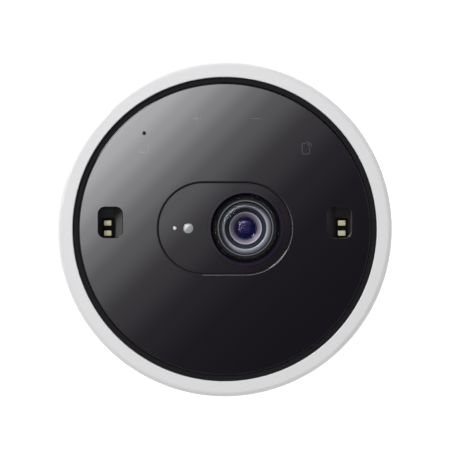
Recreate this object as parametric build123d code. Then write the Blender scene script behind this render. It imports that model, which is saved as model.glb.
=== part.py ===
"""Portable projector: a round can-shaped head that tilts in a U-shaped cradle on a weighted base.

Frame: millimetres, +Z up, origin at the centre of the base's underside. At rest the head stands
upright with its lens facing +Z. The tilt axis is parallel to X, and +Y is the side of the face
that is uppermost once the head is tilted to face forward (-Y).
"""
import os
from math import cos, hypot, radians, sin

from build123d import *

# driving dimensions
FACE_Z = 172.7          # top of the front rim, and the height of the whole product
BODY_R = 47.5           # outer radius of the head
WALL = 2.2              # wall of the head's outer shells
REAR_Z = 36.0           # rear end of the head
REAR_EDGE_R = 10.0      # rounding of the head's rear edge
PIVOT_Z = 72.0          # height of the tilt axis

GRILLE_Z = (46.0, 104.0)    # slotted section of the head
RIM_JOINT_Z = 164.0         # joint between the main shell and the front rim
RIM_LIP = 2.0               # depth of the step where the two meet
SEAM = 0.25                 # chamfer on each side of a seam between shells
GRILLE_BAND = 4.2           # plain band at each end of the grille
GRILLE_INNER_R = 43.5
GRILLE_REBATE = 1.2         # depth of the step behind each band
GRILLE_FINS, GRILLE_FIN_T, GRILLE_RIBS = 12, 1.9, 12
FIN_BEVEL = 0.4
CLOTH_T = 0.5
REAR_SCREW_R = 30.0         # radius of the circle that the rear screws stand on
SOUND_PITCH = 5.2           # spacing of the rings of sound holes
SOUND_RINGS, SOUND_HOLE_R = 4, 1.1

# front face
RIM_INNER_R = 43.1
RIM_EDGE_R = 1.4
RIM_INNER_EDGE_R = 0.25
RIM_FLANGE_T = 3.1
GLASS_R = 41.5
GLASS_T = 1.8
GLASS_EDGE_R = 0.45
GLASS_TOP_Z = FACE_Z - 0.5
GLASS_Z = GLASS_TOP_Z - GLASS_T
TOUCH_BOARD_T = 1.2
FRAME_TOP_Z = GLASS_Z - TOUCH_BOARD_T
FRAME_T = 2.4

# lens window, a slot-shaped plate sunk in the glass, with the lens at its right-hand end
WINDOW_L, WINDOW_H = 37.6, 25.7
WINDOW_Y = 0.3
WINDOW_SINK = 0.8
WINDOW_T = 2.0
WINDOW_EDGE_R = 0.5     # polished round edge of the slot in the glass
LENS_X, LENS_Y = (WINDOW_L - WINDOW_H) / 2, WINDOW_Y
LENS_HOLE_R = 9.4
LENS_CHAMFER, LENS_CHAMFER_DEPTH = 1.5, 0.6
EMITTER_X, EMITTER_R = -14.2, 0.55
SENSOR_X, SENSOR_R = -10.4, 1.5

# contact pockets for a clip-on cap, one on each side of the face
POCKET_X, POCKET_Y = 32.4, 1.9
POCKET_W, POCKET_H, POCKET_R = 6.8, 8.65, 1.9
POCKET_FLOOR_Z = 167.0
POCKET_EDGE_R = 0.2
POCKET_MARGIN = 1.5     # how much wider the parts below are cut round a pocket
PAD_W, PAD_H = 2.2, 1.6
PAD_X = 33.3
PAD_YS = (1.7, -1.1)
RAMP_L = 2.6

STATUS_X, STATUS_Y, STATUS_R = -22.8, 27.2, 0.55
STATUS_HOLE_R = 0.7     # hole for its light pipe in the parts below

# flat cable of the touch keys, down to the mainboard
RIBBON_X, RIBBON_Y, RIBBON_T, RIBBON_LOW_Z = (-18.0, -8.0), 27.4, 0.3, 151.0

# focusing lens
BARREL_R = 8.6
BARREL_Z = (132.0, 170.2)
NUT_Z = (146.0, 149.0)
SCREW_X, SCREW_Y = LENS_X, LENS_Y - 17.0
SCREW_R = 0.8

# light engine and cooling
ENGINE_X, ENGINE_Y, ENGINE_Z = (-32.0, 22.0), (-12.0, 20.0), (108.0, 134.0)
LED_Z = 121.0           # height of both lamps
DMD_Z = 107.4           # underside of the mirror-array chip
DECK_Z = (91.0, 92.2)
DECK_R = 42.4
POST_R, LOW_POST_R = 39.5, 38.0
FAN_HALF = 24.0
FAN_Z = (81.0, 91.0)
FAN_BORE_R = 22.3
HUB_R = 10.5
BLADE_TIP_R = 21.8
BLADES = 9
AXLE_R = 1.5
SINK_R = 30.0
SINK_BASE_Z = (100.0, 102.0)

# speaker
BOX_R = 36.0
BOX_FLAT_Y = 30.0
BOX_Z = (50.0, 79.0)
DRIVER_R = 22.0
CONE_R = 15.5
LID_T = 1.6
RADIATOR_R = 10.8
RADIATOR_Z = 65.0

# ports, on the +X side
PORT_Z = 132.0
PORT_W, PORT_L = 12.0, 40.0
PORT_FACE_X = 46.6
POWER_Z, VIDEO_Z, SWITCH_Z = 143.0, 130.0, 117.0
BOARD_T = 1.6
PORT_GAP = 0.2          # clearance round the port plate
PORT_FLANGE = 1.5       # how far its hidden flange reaches past the opening
PORT_FLANGE_X = (43.4, 44.6)
# openings in the plate: width, length and corner radius
POWER_HOLE = (3.5, 9.3, 1.7)
VIDEO_HOLE = (3.3, 6.9, 0.5)
SWITCH_HOLE = (2.8, 6.0, 0.6)
RESET_HOLE_R = 0.5

# fasteners
CASE_SCREW_R, CASE_HOLE_R, CASE_POST_R = 1.25, 1.3, 3.2
HEAD_R, HEAD_HOLE_R = 2.7, 2.9
RECESS_L, RECESS_W, RECESS_R, RECESS_DEPTH = 3.2, 0.7, 0.2, 0.9
FRAME_SCREW_R, FRAME_HOLE_R = 1.5, 1.6
BASE_SCREW_R, BASE_HOLE_R = 1.45, 1.6

# cradle and base
ARM_IN_X = 48.2         # inner face of each arm
ARM_T = 2.6
ARM_W = 28.0
ARM_BEND_R = 34.0       # inner bend of the U
ARM_EDGE_R = 0.7
STRAP_Z = 11.4          # underside of the U's flat middle
CAP_R, CAP_T = 10.5, 0.6
PIN_R, PIN_HEAD_R = 3.0, 6.0
PIN_HEAD_X = (49.6, 50.7)
CLIP_GROOVE_X, CLIP_GROOVE_R = (37.2, 38.1), 2.4
WASHERS, WASHER_PITCH = 3, 0.31
BUSH_R = 6.0
BUSH_X = (40.2, BODY_R)
BRACKET_X = (40.2, 41.4)
BRACKET_HALF_W = 9.0
BOSS_R = 15.5
RUN_GAP = 0.05          # radial clearance of the running fits
BASE_R = 46.0
BASE_TOP_Z = STRAP_Z + ARM_T
BASE_EDGE_R, BASE_LOW_EDGE_R = 3.0, 0.5
BASE_WALL = 2.4
PLATE_R, PLATE_Z = 44.5, (1.5, 3.5)
BALLAST_R, BALLAST_Z = 43.0, (3.6, 8.8)
INSERT_R = 7.0
FOOT_R = (30.0, 43.0)
FOOT_T, FOOT_EDGE_R = 2.3, 0.5
TRIPOD_R = 2.55         # tapping radius of a 1/4-20 thread
TRIPOD_DEPTH = 6.5

BOTTOM = (Align.CENTER, Align.CENTER, Align.MIN)
SIDES = (-1, 1)


# helpers
def disc(r, z0, z1, x=0.0, y=0.0):
    return Pos(x, y, z0) * Cylinder(r, z1 - z0, align=BOTTOM)


def tube(r_out, r_in, z0, z1, x=0.0, y=0.0):
    return disc(r_out, z0, z1, x, y) - disc(r_in, z0, z1, x, y)


def block(xs, ys, zs):
    size = [b - a for a, b in (xs, ys, zs)]
    middle = [(a + b) / 2 for a, b in (xs, ys, zs)]
    return Pos(*middle) * Box(*size)


def slot_prism(length, height, z0, z1, x=0.0, y=0.0):
    return Pos(x, y, z0) * extrude(SlotOverall(length, height), z1 - z0)


def rounded_prism(width, height, radius, z0, z1, x=0.0, y=0.0):
    return Pos(x, y, z0) * extrude(RectangleRounded(width, height, radius), z1 - z0)


def lathe(*points):
    """Solid of revolution about Z from a closed outline of (radius, z) points."""
    outline = Polyline(*[(r, 0, z) for r, z in points], close=True)
    return revolve(make_face(outline), Axis.Z)


def side_disc(side, r, x0, x1, y=0.0, z=PIVOT_Z):
    """Disc whose axis is parallel to X, from distance x0 to x1 on one side of the head."""
    turned = Rot(0, 90, 0) * Cylinder(r, x1 - x0)
    return Pos(side * (x0 + x1) / 2, y, z) * turned


def top_circle(solid, r, z):
    """The round edges of radius r at height z."""
    return solid.edges().filter_by(GeomType.CIRCLE).filter_by(
        lambda e: abs(e.radius - r) < 0.01 and abs(e.center().Z - z) < 0.01
    )


def side_tube(side, r_out, r_in, x0, x1):
    return side_disc(side, r_out, x0, x1) - side_disc(side, r_in, x0, x1)


def side_slot(width, length, radius, x0, x1, z):
    """Rounded prism that runs along X, with its width along Y and its length along Z."""
    face = Plane(origin=(x0, 0, z), x_dir=(0, 1, 0), z_dir=(1, 0, 0)) * RectangleRounded(
        width, length, radius
    )
    return extrude(face, x1 - x0)


def ring_of(count, radius, start=0.0):
    """(x, y) points spaced evenly on a circle, the first at start degrees."""
    turns = [radians(start + 360.0 * i / count) for i in range(count)]
    return [(radius * cos(t), radius * sin(t)) for t in turns]


def group(solids):
    return Compound(children=list(solids))


# head: outer shells
def front_rim():
    lip_r = BODY_R - WALL
    step_r, step_z = lip_r + 1.0, RIM_JOINT_Z - RIM_LIP
    rim = lathe(
        (RIM_INNER_R, FACE_Z), (BODY_R, FACE_Z), (BODY_R, RIM_JOINT_Z + SEAM),
        (BODY_R - SEAM, RIM_JOINT_Z), (step_r, RIM_JOINT_Z), (step_r, step_z), (lip_r, step_z),
        (lip_r, FACE_Z - RIM_FLANGE_T), (RIM_INNER_R, FACE_Z - RIM_FLANGE_T),
    )
    rim = fillet(top_circle(rim, BODY_R, FACE_Z), RIM_EDGE_R)
    return fillet(top_circle(rim, RIM_INNER_R, FACE_Z), RIM_INNER_EDGE_R)


def main_shell():
    inner_r = BODY_R - WALL
    step_r, step_z = inner_r + 1.05, RIM_JOINT_Z - RIM_LIP
    low_z = GRILLE_Z[1]
    shell = lathe(
        (BODY_R - SEAM, low_z), (BODY_R, low_z + SEAM), (BODY_R, RIM_JOINT_Z - SEAM),
        (BODY_R - SEAM, RIM_JOINT_Z), (step_r, RIM_JOINT_Z), (step_r, step_z), (inner_r, step_z),
        (inner_r, low_z),
    )
    gap = 2 * PORT_GAP
    window = side_slot(
        PORT_W + gap, PORT_L + gap, (PORT_W + gap) / 2 - 0.01, BODY_R - 7, BODY_R + 2, PORT_Z
    )
    return shell - window


def vent_grille():
    """Stack of thin rings on upright ribs, with a plain band at each end and a boss at each hinge."""
    z0, z1 = GRILLE_Z
    inner_r, fin_inner_r = BODY_R - WALL, GRILLE_INNER_R + 0.7
    low, high = z0 + GRILLE_BAND, z1 - GRILLE_BAND
    shell = lathe(
        (inner_r, z0), (BODY_R - SEAM, z0), (BODY_R, z0 + SEAM), (BODY_R, low),
        (GRILLE_INNER_R, low), (GRILLE_INNER_R, low - GRILLE_REBATE), (inner_r, low - GRILLE_REBATE),
    )
    shell += lathe(
        (inner_r, z1), (BODY_R - SEAM, z1), (BODY_R, z1 - SEAM), (BODY_R, high),
        (GRILLE_INNER_R, high), (GRILLE_INNER_R, high + GRILLE_REBATE),
        (inner_r, high + GRILLE_REBATE),
    )
    pitch = (high - low) / (GRILLE_FINS + 0.5)
    for i in range(GRILLE_FINS):
        z = low + pitch * (i + 0.75)
        fin_z0, fin_z1 = z - GRILLE_FIN_T / 2, z + GRILLE_FIN_T / 2
        shell += lathe(
            (fin_inner_r, fin_z0), (BODY_R - FIN_BEVEL, fin_z0), (BODY_R, fin_z0 + FIN_BEVEL),
            (BODY_R, fin_z1 - FIN_BEVEL), (BODY_R - FIN_BEVEL, fin_z1), (fin_inner_r, fin_z1),
        )
    rib_xs = (GRILLE_INNER_R, GRILLE_INNER_R + 2.0)
    rib = block(rib_xs, (-1.2, 1.2), (low - 0.6, high + 0.6))
    for i in range(GRILLE_RIBS):
        shell += Rot(0, 0, 360.0 * (i + 0.5) / GRILLE_RIBS) * rib
    for side in SIDES:
        boss = side_disc(side, BOSS_R, GRILLE_INNER_R - 0.3, BODY_R + 1) & disc(BODY_R, z0, z1)
        shell += boss
        shell -= side_disc(side, BUSH_R + RUN_GAP, 40.0, BODY_R + 1)
    return shell


def grille_cloth():
    z0, z1 = GRILLE_Z
    outer_r = GRILLE_INNER_R - 0.4
    cloth = tube(outer_r, outer_r - CLOTH_T, z0 + 4.0, z1 - 4.0)
    for side in SIDES:
        cloth -= side_disc(side, BOSS_R + 0.5, 38.0, GRILLE_INNER_R + 1)
    return cloth


def rear_cap():
    """Round-edged cup with a locating spigot, screw posts and rings of sound holes."""
    inner_z = REAR_Z + WALL
    top_z = REAR_Z + REAR_EDGE_R
    inner_r = BODY_R - WALL
    cup = disc(BODY_R, REAR_Z, top_z)
    edge = cup.edges().filter_by(GeomType.CIRCLE).sort_by(Axis.Z)[0]
    cup = fillet(edge, REAR_EDGE_R - 0.01)
    core = disc(inner_r, inner_z, top_z + 1)
    edge = core.edges().filter_by(GeomType.CIRCLE).sort_by(Axis.Z)[0]
    cup -= fillet(edge, REAR_EDGE_R - WALL)
    cup += tube(inner_r + 0.5, inner_r - 1.1, top_z - 1.5, top_z)
    cup += tube(inner_r - 0.1, inner_r - 1.1, top_z - 0.5, top_z + 2.5)
    for x, y in ring_of(4, REAR_SCREW_R, 45.0):
        cup += disc(CASE_POST_R, inner_z - 0.5, BOX_Z[0], x, y)
        cup -= disc(HEAD_HOLE_R, REAR_Z - 1, REAR_Z + 2.0, x, y)
        cup -= disc(CASE_HOLE_R, REAR_Z, BOX_Z[0] + 1, x, y)
    hole = disc(SOUND_HOLE_R, REAR_Z - 1, inner_z + 0.5)
    cup -= hole
    for ring in range(1, SOUND_RINGS + 1):
        for x, y in ring_of(6 * ring, SOUND_PITCH * ring):
            cup -= Pos(x, y, 0) * hole
    return cup


def port_plate():
    back_x, step_x = PORT_FLANGE_X
    width, length = PORT_W + 2 * PORT_FLANGE, PORT_L + 2 * PORT_FLANGE
    plate = side_slot(width, length, width / 2 - 0.01, back_x, step_x, PORT_Z)
    plate += side_slot(PORT_W, PORT_L, PORT_W / 2 - 0.01, step_x, PORT_FACE_X, PORT_Z)
    through = (back_x - 1, PORT_FACE_X + 1)
    for size, z in ((POWER_HOLE, POWER_Z), (VIDEO_HOLE, VIDEO_Z), (SWITCH_HOLE, SWITCH_Z)):
        plate -= side_slot(*size, *through, z)
    return plate - side_disc(1, RESET_HOLE_R, *through, z=(VIDEO_Z + SWITCH_Z) / 2)


# head: front face
def front_glass():
    glass = disc(GLASS_R, GLASS_Z, GLASS_TOP_Z)
    glass = fillet(top_circle(glass, GLASS_R, GLASS_TOP_Z), GLASS_EDGE_R)
    glass -= slot_prism(WINDOW_L, WINDOW_H, GLASS_Z, GLASS_TOP_Z, y=WINDOW_Y)
    glass = fillet(top_edges(glass, 0.0, WINDOW_L / 2 + 0.1), WINDOW_EDGE_R)
    for side in SIDES:
        glass -= rounded_prism(
            POCKET_W, POCKET_H, POCKET_R, GLASS_Z, GLASS_TOP_Z, side * POCKET_X, POCKET_Y
        )
    pocket_edges = top_edges(glass, POCKET_X - POCKET_W / 2 - 0.1, POCKET_X + POCKET_W / 2 + 0.1)
    glass = fillet(pocket_edges, POCKET_EDGE_R)
    return glass - disc(STATUS_R, GLASS_Z, GLASS_TOP_Z, STATUS_X, STATUS_Y)


def top_edges(glass, near_x, far_x):
    """Edges in the glass's top face whose middles lie from near_x to far_x to either side."""
    return glass.edges().filter_by(
        lambda e: abs(e.center().Z - GLASS_TOP_Z) < 0.01
        and near_x <= abs(e.center().X) <= far_x
        and abs(e.center().Y) < GLASS_R / 2
    )


def bezel_gasket():
    return tube(RIM_INNER_R - 0.1, GLASS_R + 0.1, FRAME_TOP_Z, FACE_Z - 0.7)


def touch_board():
    board = disc(GLASS_R - 0.5, FRAME_TOP_Z, GLASS_Z)
    board -= slot_prism(WINDOW_L + 1.9, WINDOW_H + 1.9, FRAME_TOP_Z, GLASS_Z, y=WINDOW_Y)
    for side in SIDES:
        board -= pocket_clearance(side, FRAME_TOP_Z, GLASS_Z)
    board -= disc(STATUS_HOLE_R, FRAME_TOP_Z, GLASS_Z, STATUS_X, STATUS_Y)
    ribbon = block(RIBBON_X, (RIBBON_Y, RIBBON_Y + RIBBON_T), (RIBBON_LOW_Z, FRAME_TOP_Z))
    return group([board, ribbon])


def pocket_clearance(side, z0, z1):
    width, height = POCKET_W + POCKET_MARGIN, POCKET_H + POCKET_MARGIN
    return rounded_prism(width, height, POCKET_R + 0.7, z0, z1, side * POCKET_X, POCKET_Y)


def front_frame():
    """Moulded ring plate that the glass, the wells and the lens mount are fixed to."""
    z0, z1 = FRAME_TOP_Z - FRAME_T, FRAME_TOP_Z
    outer_r, skirt_h = BODY_R - WALL - 0.2, 4.0
    frame = disc(outer_r, z0, z1) + tube(outer_r, outer_r - 1.8, z0 - skirt_h, z0)
    frame -= slot_prism(WINDOW_L - 4.0, WINDOW_H - 4.0, z0, z1, y=WINDOW_Y)
    for side in SIDES:
        frame -= pocket_clearance(side, z0, z1)
    frame -= block((RIBBON_X[0] - 1.5, RIBBON_X[1] + 1.5), (RIBBON_Y - 1.4, RIBBON_Y + 1.6), (z0, z1))
    frame -= disc(STATUS_HOLE_R, z0, z1, STATUS_X, STATUS_Y)
    for x, y in ring_of(4, POST_R, 45.0):
        frame -= disc(FRAME_HOLE_R, z0, z1, x, y)
    return frame


def lens_plate():
    top = GLASS_TOP_Z - WINDOW_SINK
    plate = slot_prism(WINDOW_L - 0.2, WINDOW_H - 0.2, top - WINDOW_T, top, y=WINDOW_Y)
    plate -= disc(LENS_HOLE_R, top - WINDOW_T, top, LENS_X, LENS_Y)
    edge = top_circle(plate, LENS_HOLE_R, top)
    face = plate.faces().sort_by(Axis.Z)[-1]
    plate = chamfer(edge, length=LENS_CHAMFER_DEPTH, length2=LENS_CHAMFER, reference=face)
    plate -= disc(EMITTER_R, top - WINDOW_T, top, EMITTER_X, WINDOW_Y)
    return plate - disc(SENSOR_R, top - WINDOW_T, top, SENSOR_X, WINDOW_Y)


def lens_trim_ring():
    return tube(LENS_HOLE_R - 0.05, BARREL_R + 0.15, 168.4, 170.6, LENS_X, LENS_Y)


def sensor_windows():
    top = GLASS_TOP_Z - WINDOW_SINK
    places = ((EMITTER_X, EMITTER_R), (SENSOR_X, SENSOR_R))
    return group(disc(r - 0.02, top - WINDOW_T, top - 0.1, x, WINDOW_Y) for x, r in places)


def range_sensor():
    z1 = GLASS_TOP_Z - WINDOW_SINK - WINDOW_T
    chip = block((-15.4, -8.4), (WINDOW_Y - 2.2, WINDOW_Y + 2.2), (z1 - 1.5, z1))
    return chip + block((-15.5, -7.0), (WINDOW_Y - 3.8, WINDOW_Y + 3.8), (z1 - 2.5, z1 - 1.5))


def status_light_pipe():
    return disc(STATUS_R - 0.05, FRAME_TOP_Z - 0.4, GLASS_TOP_Z - 0.3, STATUS_X, STATUS_Y)


def pocket_cavity(side):
    return rounded_prism(
        POCKET_W, POCKET_H, POCKET_R, POCKET_FLOOR_Z, GLASS_Z, side * POCKET_X, POCKET_Y
    )


def pocket_well(side):
    """Moulded well under one pocket, with a ramp on its inner side for the cap's hook."""
    x, frame_z = side * POCKET_X, FRAME_TOP_Z - FRAME_T
    low_z = frame_z - 1.2
    well = rounded_prism(POCKET_W + 1.3, POCKET_H + 1.3, POCKET_R + 0.65, low_z, GLASS_Z, x, POCKET_Y)
    well += rounded_prism(POCKET_W + 3.6, POCKET_H + 3.6, POCKET_R + 1.8, low_z, frame_z, x, POCKET_Y)
    well -= pocket_cavity(side)
    wall_x = POCKET_X - POCKET_W / 2
    toe_x = wall_x + RAMP_L
    ramp = make_face(
        Polyline(
            (side * wall_x, 0, POCKET_FLOOR_Z), (side * toe_x, 0, POCKET_FLOOR_Z),
            (side * wall_x, 0, GLASS_Z - 0.4), close=True,
        )
    )
    ramp = extrude(ramp, 20.0, both=True, dir=(0, 1, 0))
    return well + (ramp & pocket_cavity(side))


def contact_block(side):
    xs = sorted((side * 31.7, side * 35.0))
    return block(xs, (-2.6, 3.2), (POCKET_FLOOR_Z, POCKET_FLOOR_Z + 1.4)) & pocket_cavity(side)


def contact_pads():
    z = POCKET_FLOOR_Z + 1.4
    pads = []
    for side in SIDES:
        for y in PAD_YS:
            x = side * PAD_X
            pads.append(
                block((x - PAD_W / 2, x + PAD_W / 2), (y - PAD_H / 2, y + PAD_H / 2), (z, z + 0.2))
            )
    return group(pads)


# focusing lens
def focus_barrel():
    """Stepped barrel that holds the glass, with a nut arm that rides on the focus screw."""
    z0, z1 = BARREL_Z
    barrel = Pos(LENS_X, LENS_Y, 0) * lathe(
        (BARREL_R, z0), (BARREL_R, z1), (7.75, z1), (7.75, 167.0), (7.3, 167.0), (7.3, 163.4),
        (4.9, 159.6), (4.9, 157.6), (6.4, 157.6), (6.4, 140.0), (7.2, 140.0), (7.2, z0),
    )
    arm = block((SCREW_X - 2.0, SCREW_X + 2.0), (SCREW_Y - 2.5, LENS_Y - 6.0), NUT_Z)
    arm -= disc(BARREL_R - 0.5, *NUT_Z, LENS_X, LENS_Y)
    return barrel + (arm - disc(SCREW_R + RUN_GAP, *NUT_Z, SCREW_X, SCREW_Y))


def dome_lens(r, edge_z, edge_t, rise_top, rise_bottom=0.0):
    """Round glass element with a cylindrical edge and spherical faces."""
    body = disc(r, edge_z - rise_bottom, edge_z + edge_t + rise_top)
    top_r = (r * r + rise_top * rise_top) / (2 * rise_top)
    body &= Pos(0, 0, edge_z + edge_t + rise_top - top_r) * Sphere(top_r)
    if rise_bottom:
        low_r = (r * r + rise_bottom * rise_bottom) / (2 * rise_bottom)
        body &= Pos(0, 0, edge_z - rise_bottom + low_r) * Sphere(low_r)
    return Pos(LENS_X, LENS_Y, 0) * body


def front_lens():
    return dome_lens(7.7, 167.05, 1.0, 1.9)


def barrel_rings():
    baffle = tube(7.25, 6.25, 165.2, 166.2, LENS_X, LENS_Y)
    stop = tube(4.85, 3.6, 157.7, 159.4, LENS_X, LENS_Y)
    return group([baffle, stop])


def inner_lenses():
    return group([dome_lens(6.2, 152.0, 2.2, 2.2, 1.4), dome_lens(7.0, 134.0, 2.0, 1.6, 1.4)])


def focus_screw():
    return disc(SCREW_R, 132.1, 159.4, SCREW_X, SCREW_Y)


def focus_motor():
    """Small motor can and the sheet-metal bracket that carries both ends of its screw."""
    can = disc(4.0, ENGINE_Z[1] - 12.0, 132.0, SCREW_X, SCREW_Y - 0.4)
    can -= disc(SCREW_R + 0.1, 131.0, 132.0, SCREW_X, SCREW_Y)
    xs = (SCREW_X - 4.0, SCREW_X + 4.0)
    back_y = SCREW_Y - 5.3
    bracket = block(xs, (back_y, back_y + 0.8), (132.0, 160.0))
    bracket += block(xs, (back_y, SCREW_Y + 3.0), (132.0, 133.0))
    bracket += block(xs, (back_y, LENS_Y - 12.1), (158.5, 159.5))
    return group([can, bracket - disc(SCREW_R + RUN_GAP, 130.0, 161.0, SCREW_X, SCREW_Y)])


def lens_mount():
    """Guide tube for the barrel, bolted between the light engine and the front frame."""
    z0, z1 = ENGINE_Z[1], FRAME_TOP_Z - FRAME_T
    bore_r = BARREL_R + RUN_GAP
    mount = tube(12.0, bore_r, z0, z1, LENS_X, LENS_Y) + tube(15.0, bore_r, z0, z0 + 3.0, LENS_X, LENS_Y)
    mount -= block((SCREW_X - 2.6, SCREW_X + 2.6), (LENS_Y - 13.0, LENS_Y - 5.0), (143.0, 152.0))
    return mount - block((SCREW_X - 5.0, SCREW_X + 5.0), (LENS_Y - 16.0, LENS_Y - 13.4), (z0, z0 + 4.0))


# light engine
def engine_housing():
    """Die-cast box with openings for the lens, the chip and the lamps, and its cover plate."""
    (x0, x1), (y0, y1), (z0, z1) = ENGINE_X, ENGINE_Y, ENGINE_Z
    shell = block(ENGINE_X, ENGINE_Y, ENGINE_Z)
    shell -= block((x0 + 2, x1 - 2), (y0 + 2, y1 - 2), (z0 + 2, z1 - 2))
    shell -= disc(9.4, z1 - 3, z1, LENS_X, LENS_Y)
    shell -= block((-3.0, 15.0), (-6.5, 7.1), (z0, z0 + 2))
    shell -= block((x0, x0 + 2), (-4.0, 8.0), (LED_Z - 6.0, LED_Z + 6.0))
    shell -= block((-25.0, -13.0), (y1 - 2, y1), (LED_Z - 6.0, LED_Z + 6.0))
    lid = block((x0, -9.6), ENGINE_Y, (z1, z1 + 1.4))
    return group([shell, lid])


def engine_optics():
    """Combining prism and the two condenser lenses that feed it."""
    prism = block((LENS_X - 8, LENS_X + 8), (LENS_Y - 7.5, LENS_Y + 7.5), (112.0, 127.0))
    green = Pos(-28.2, 2.0, LED_Z) * Rot(0, 90, 0) * Cylinder(5.5, 3.4)
    red_blue = Pos(-19.0, 15.6, LED_Z) * Rot(90, 0, 0) * Cylinder(5.5, 3.4)
    return group([prism, green, red_blue])


def dmd_board():
    """Mirror-array chip on its board."""
    chip = block((-2.8, 14.8), (-6.3, 6.9), (DMD_Z, 110.6))
    return group([chip, block((-12.0, 24.0), (-14.0, 16.0), (DMD_Z - 1.6, DMD_Z))])


def led_modules():
    """Green lamp on the -X side and red-blue lamp on the +Y side, each a chip on a square plate."""
    zs = (LED_Z - 9.0, LED_Z + 9.0)
    chip_zs = (LED_Z - 3.0, LED_Z + 3.0)
    x0, y1 = ENGINE_X[0], ENGINE_Y[1]
    green = block((x0 - 2.0, x0), (-8.0, 12.0), zs) + block((x0, x0 + 1.5), (-1.0, 5.0), chip_zs)
    red_blue = block((-28.0, -10.0), (y1, y1 + 2.0), zs) + block((-22.0, -16.0), (y1 - 1.5, y1), chip_zs)
    return group([green, red_blue])


def heat_pipe():
    """Bent pipe from the green lamp to the heatsink, and the copper block under the chip."""
    plate_z = SINK_BASE_Z[1]
    pipe_x, pipe_r = ENGINE_X[0] - 4.7, 2.5
    low_z = plate_z + pipe_r + 0.1
    path = FilletPolyline((pipe_x, 2.0, 129.0), (pipe_x, 2.0, low_z), (-15.0, 2.0, low_z), radius=7.0)
    start = Plane(origin=(pipe_x, 2.0, 129.0), z_dir=(0, 0, -1))
    pipe = sweep(start * Circle(pipe_r), path=path)
    return group([pipe, block((-2.0, 14.0), (-6.0, 6.6), (plate_z, DMD_Z - 1.6))])


def heatsink():
    plate = disc(SINK_R, *SINK_BASE_Z)
    fins, fin_t, pitch = 15, 1.0, 3.8
    sink = plate
    for i in range(fins):
        x = (i - (fins - 1) / 2) * pitch
        sink += block((x - fin_t / 2, x + fin_t / 2), (-SINK_R, SINK_R), (DECK_Z[1] + 0.2, SINK_BASE_Z[0]))
    return sink & disc(SINK_R, DECK_Z[1], SINK_BASE_Z[1])


def fan_frame():
    """Square frame with three spokes that carry the motor's stator and bearing."""
    z0 = FAN_Z[0]
    plate_z = z0 + 1.6
    frame = block((-FAN_HALF, FAN_HALF), (-FAN_HALF, FAN_HALF), FAN_Z)
    frame -= disc(FAN_BORE_R, *FAN_Z)
    frame += disc(HUB_R - 0.5, z0, plate_z)
    frame += disc(8.2, plate_z, z0 + 7.0)
    for turn in (30, 150, 270):
        frame += Rot(0, 0, turn) * block((5.0, FAN_BORE_R + 0.5), (-1.0, 1.0), (z0, plate_z))
    return frame - disc(AXLE_R + RUN_GAP, z0 + 0.6, z0 + 7.0)


def fan_rotor():
    """Cup-shaped hub on an axle, with blades set at a slant around it."""
    z0, z1 = FAN_Z[0] + 2.2, FAN_Z[1] - 0.5
    rotor = disc(HUB_R, z0, z1) - disc(HUB_R - 1.3, z0, z1 - 1.2)
    rotor += disc(AXLE_R, FAN_Z[0] + 0.8, z1 - 1.0)
    sweep_zone = tube(BLADE_TIP_R, HUB_R - 0.5, z0 + 0.3, z1 - 0.2)
    reach = BLADE_TIP_R - HUB_R + 2.0
    for i in range(BLADES):
        blade = Pos(HUB_R + reach / 2 - 1.0, 0, (z0 + z1) / 2) * Rot(35, 0, 0) * Box(reach, 11.0, 1.0)
        rotor += (Rot(0, 0, 360.0 * i / BLADES) * blade) & sweep_zone
    return rotor


def chassis_deck():
    """Round deck above the fan, with posts down to the speaker and up to the front frame."""
    deck_z0, deck_z1 = DECK_Z
    chassis = disc(DECK_R, deck_z0, deck_z1) - disc(FAN_BORE_R, deck_z0, deck_z1)
    for x, y in ring_of(4, POST_R, 45.0):
        chassis += disc(2.4, deck_z1 - 0.4, FRAME_TOP_Z - FRAME_T, x, y)
    for turn in (60.0, 120.0, 240.0, 300.0):
        chassis += Rot(0, 0, turn) * disc(1.9, BOX_Z[1] + LID_T, deck_z0 + 0.4, LOW_POST_R, 0)
    return chassis


def head_screws():
    """Four screws through the front frame, and four in counterbores in the rear cap."""
    frame_z = FRAME_TOP_Z - FRAME_T
    screws = [
        disc(FRAME_SCREW_R, frame_z, frame_z + 2.2, x, y) for x, y in ring_of(4, POST_R, 45.0)
    ]
    for x, y in ring_of(4, REAR_SCREW_R, 45.0):
        head = cross_head(REAR_Z + 0.3, REAR_Z + 2.0, x, y)
        screws.append(head + disc(CASE_SCREW_R, REAR_Z + 1.9, BOX_Z[0] + 6, x, y))
    return group(screws)


def cross_head(z0, z1, x, y):
    """Screw head that faces -Z, with a cross-shaped drive recess."""
    head = disc(HEAD_R, z0, z1, x, y)
    depth = (z0 - 1, z0 + RECESS_DEPTH)
    head -= rounded_prism(RECESS_L, RECESS_W, RECESS_R, *depth, x, y)
    return head - rounded_prism(RECESS_W, RECESS_L, RECESS_R, *depth, x, y)


# electronics
def mainboard():
    """Processor board with its shield cans and the touch panel's connector."""
    y = 31.5
    solids = [
        block((-26.0, 26.0), (y, y + BOARD_T), (104.5, 160.0)),
        block((-20.0, 2.0), (y - 2.9, y), (108.0, 130.0)),
        block((6.0, 22.0), (y - 2.3, y), (112.0, 126.0)),
        block((4.0, 20.0), (y - 1.7, y), (134.0, 150.0)),
        block((-19.0, -7.0), (y - 3.7, y), (150.0, 154.0)),
    ]
    return group(solids)


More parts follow.
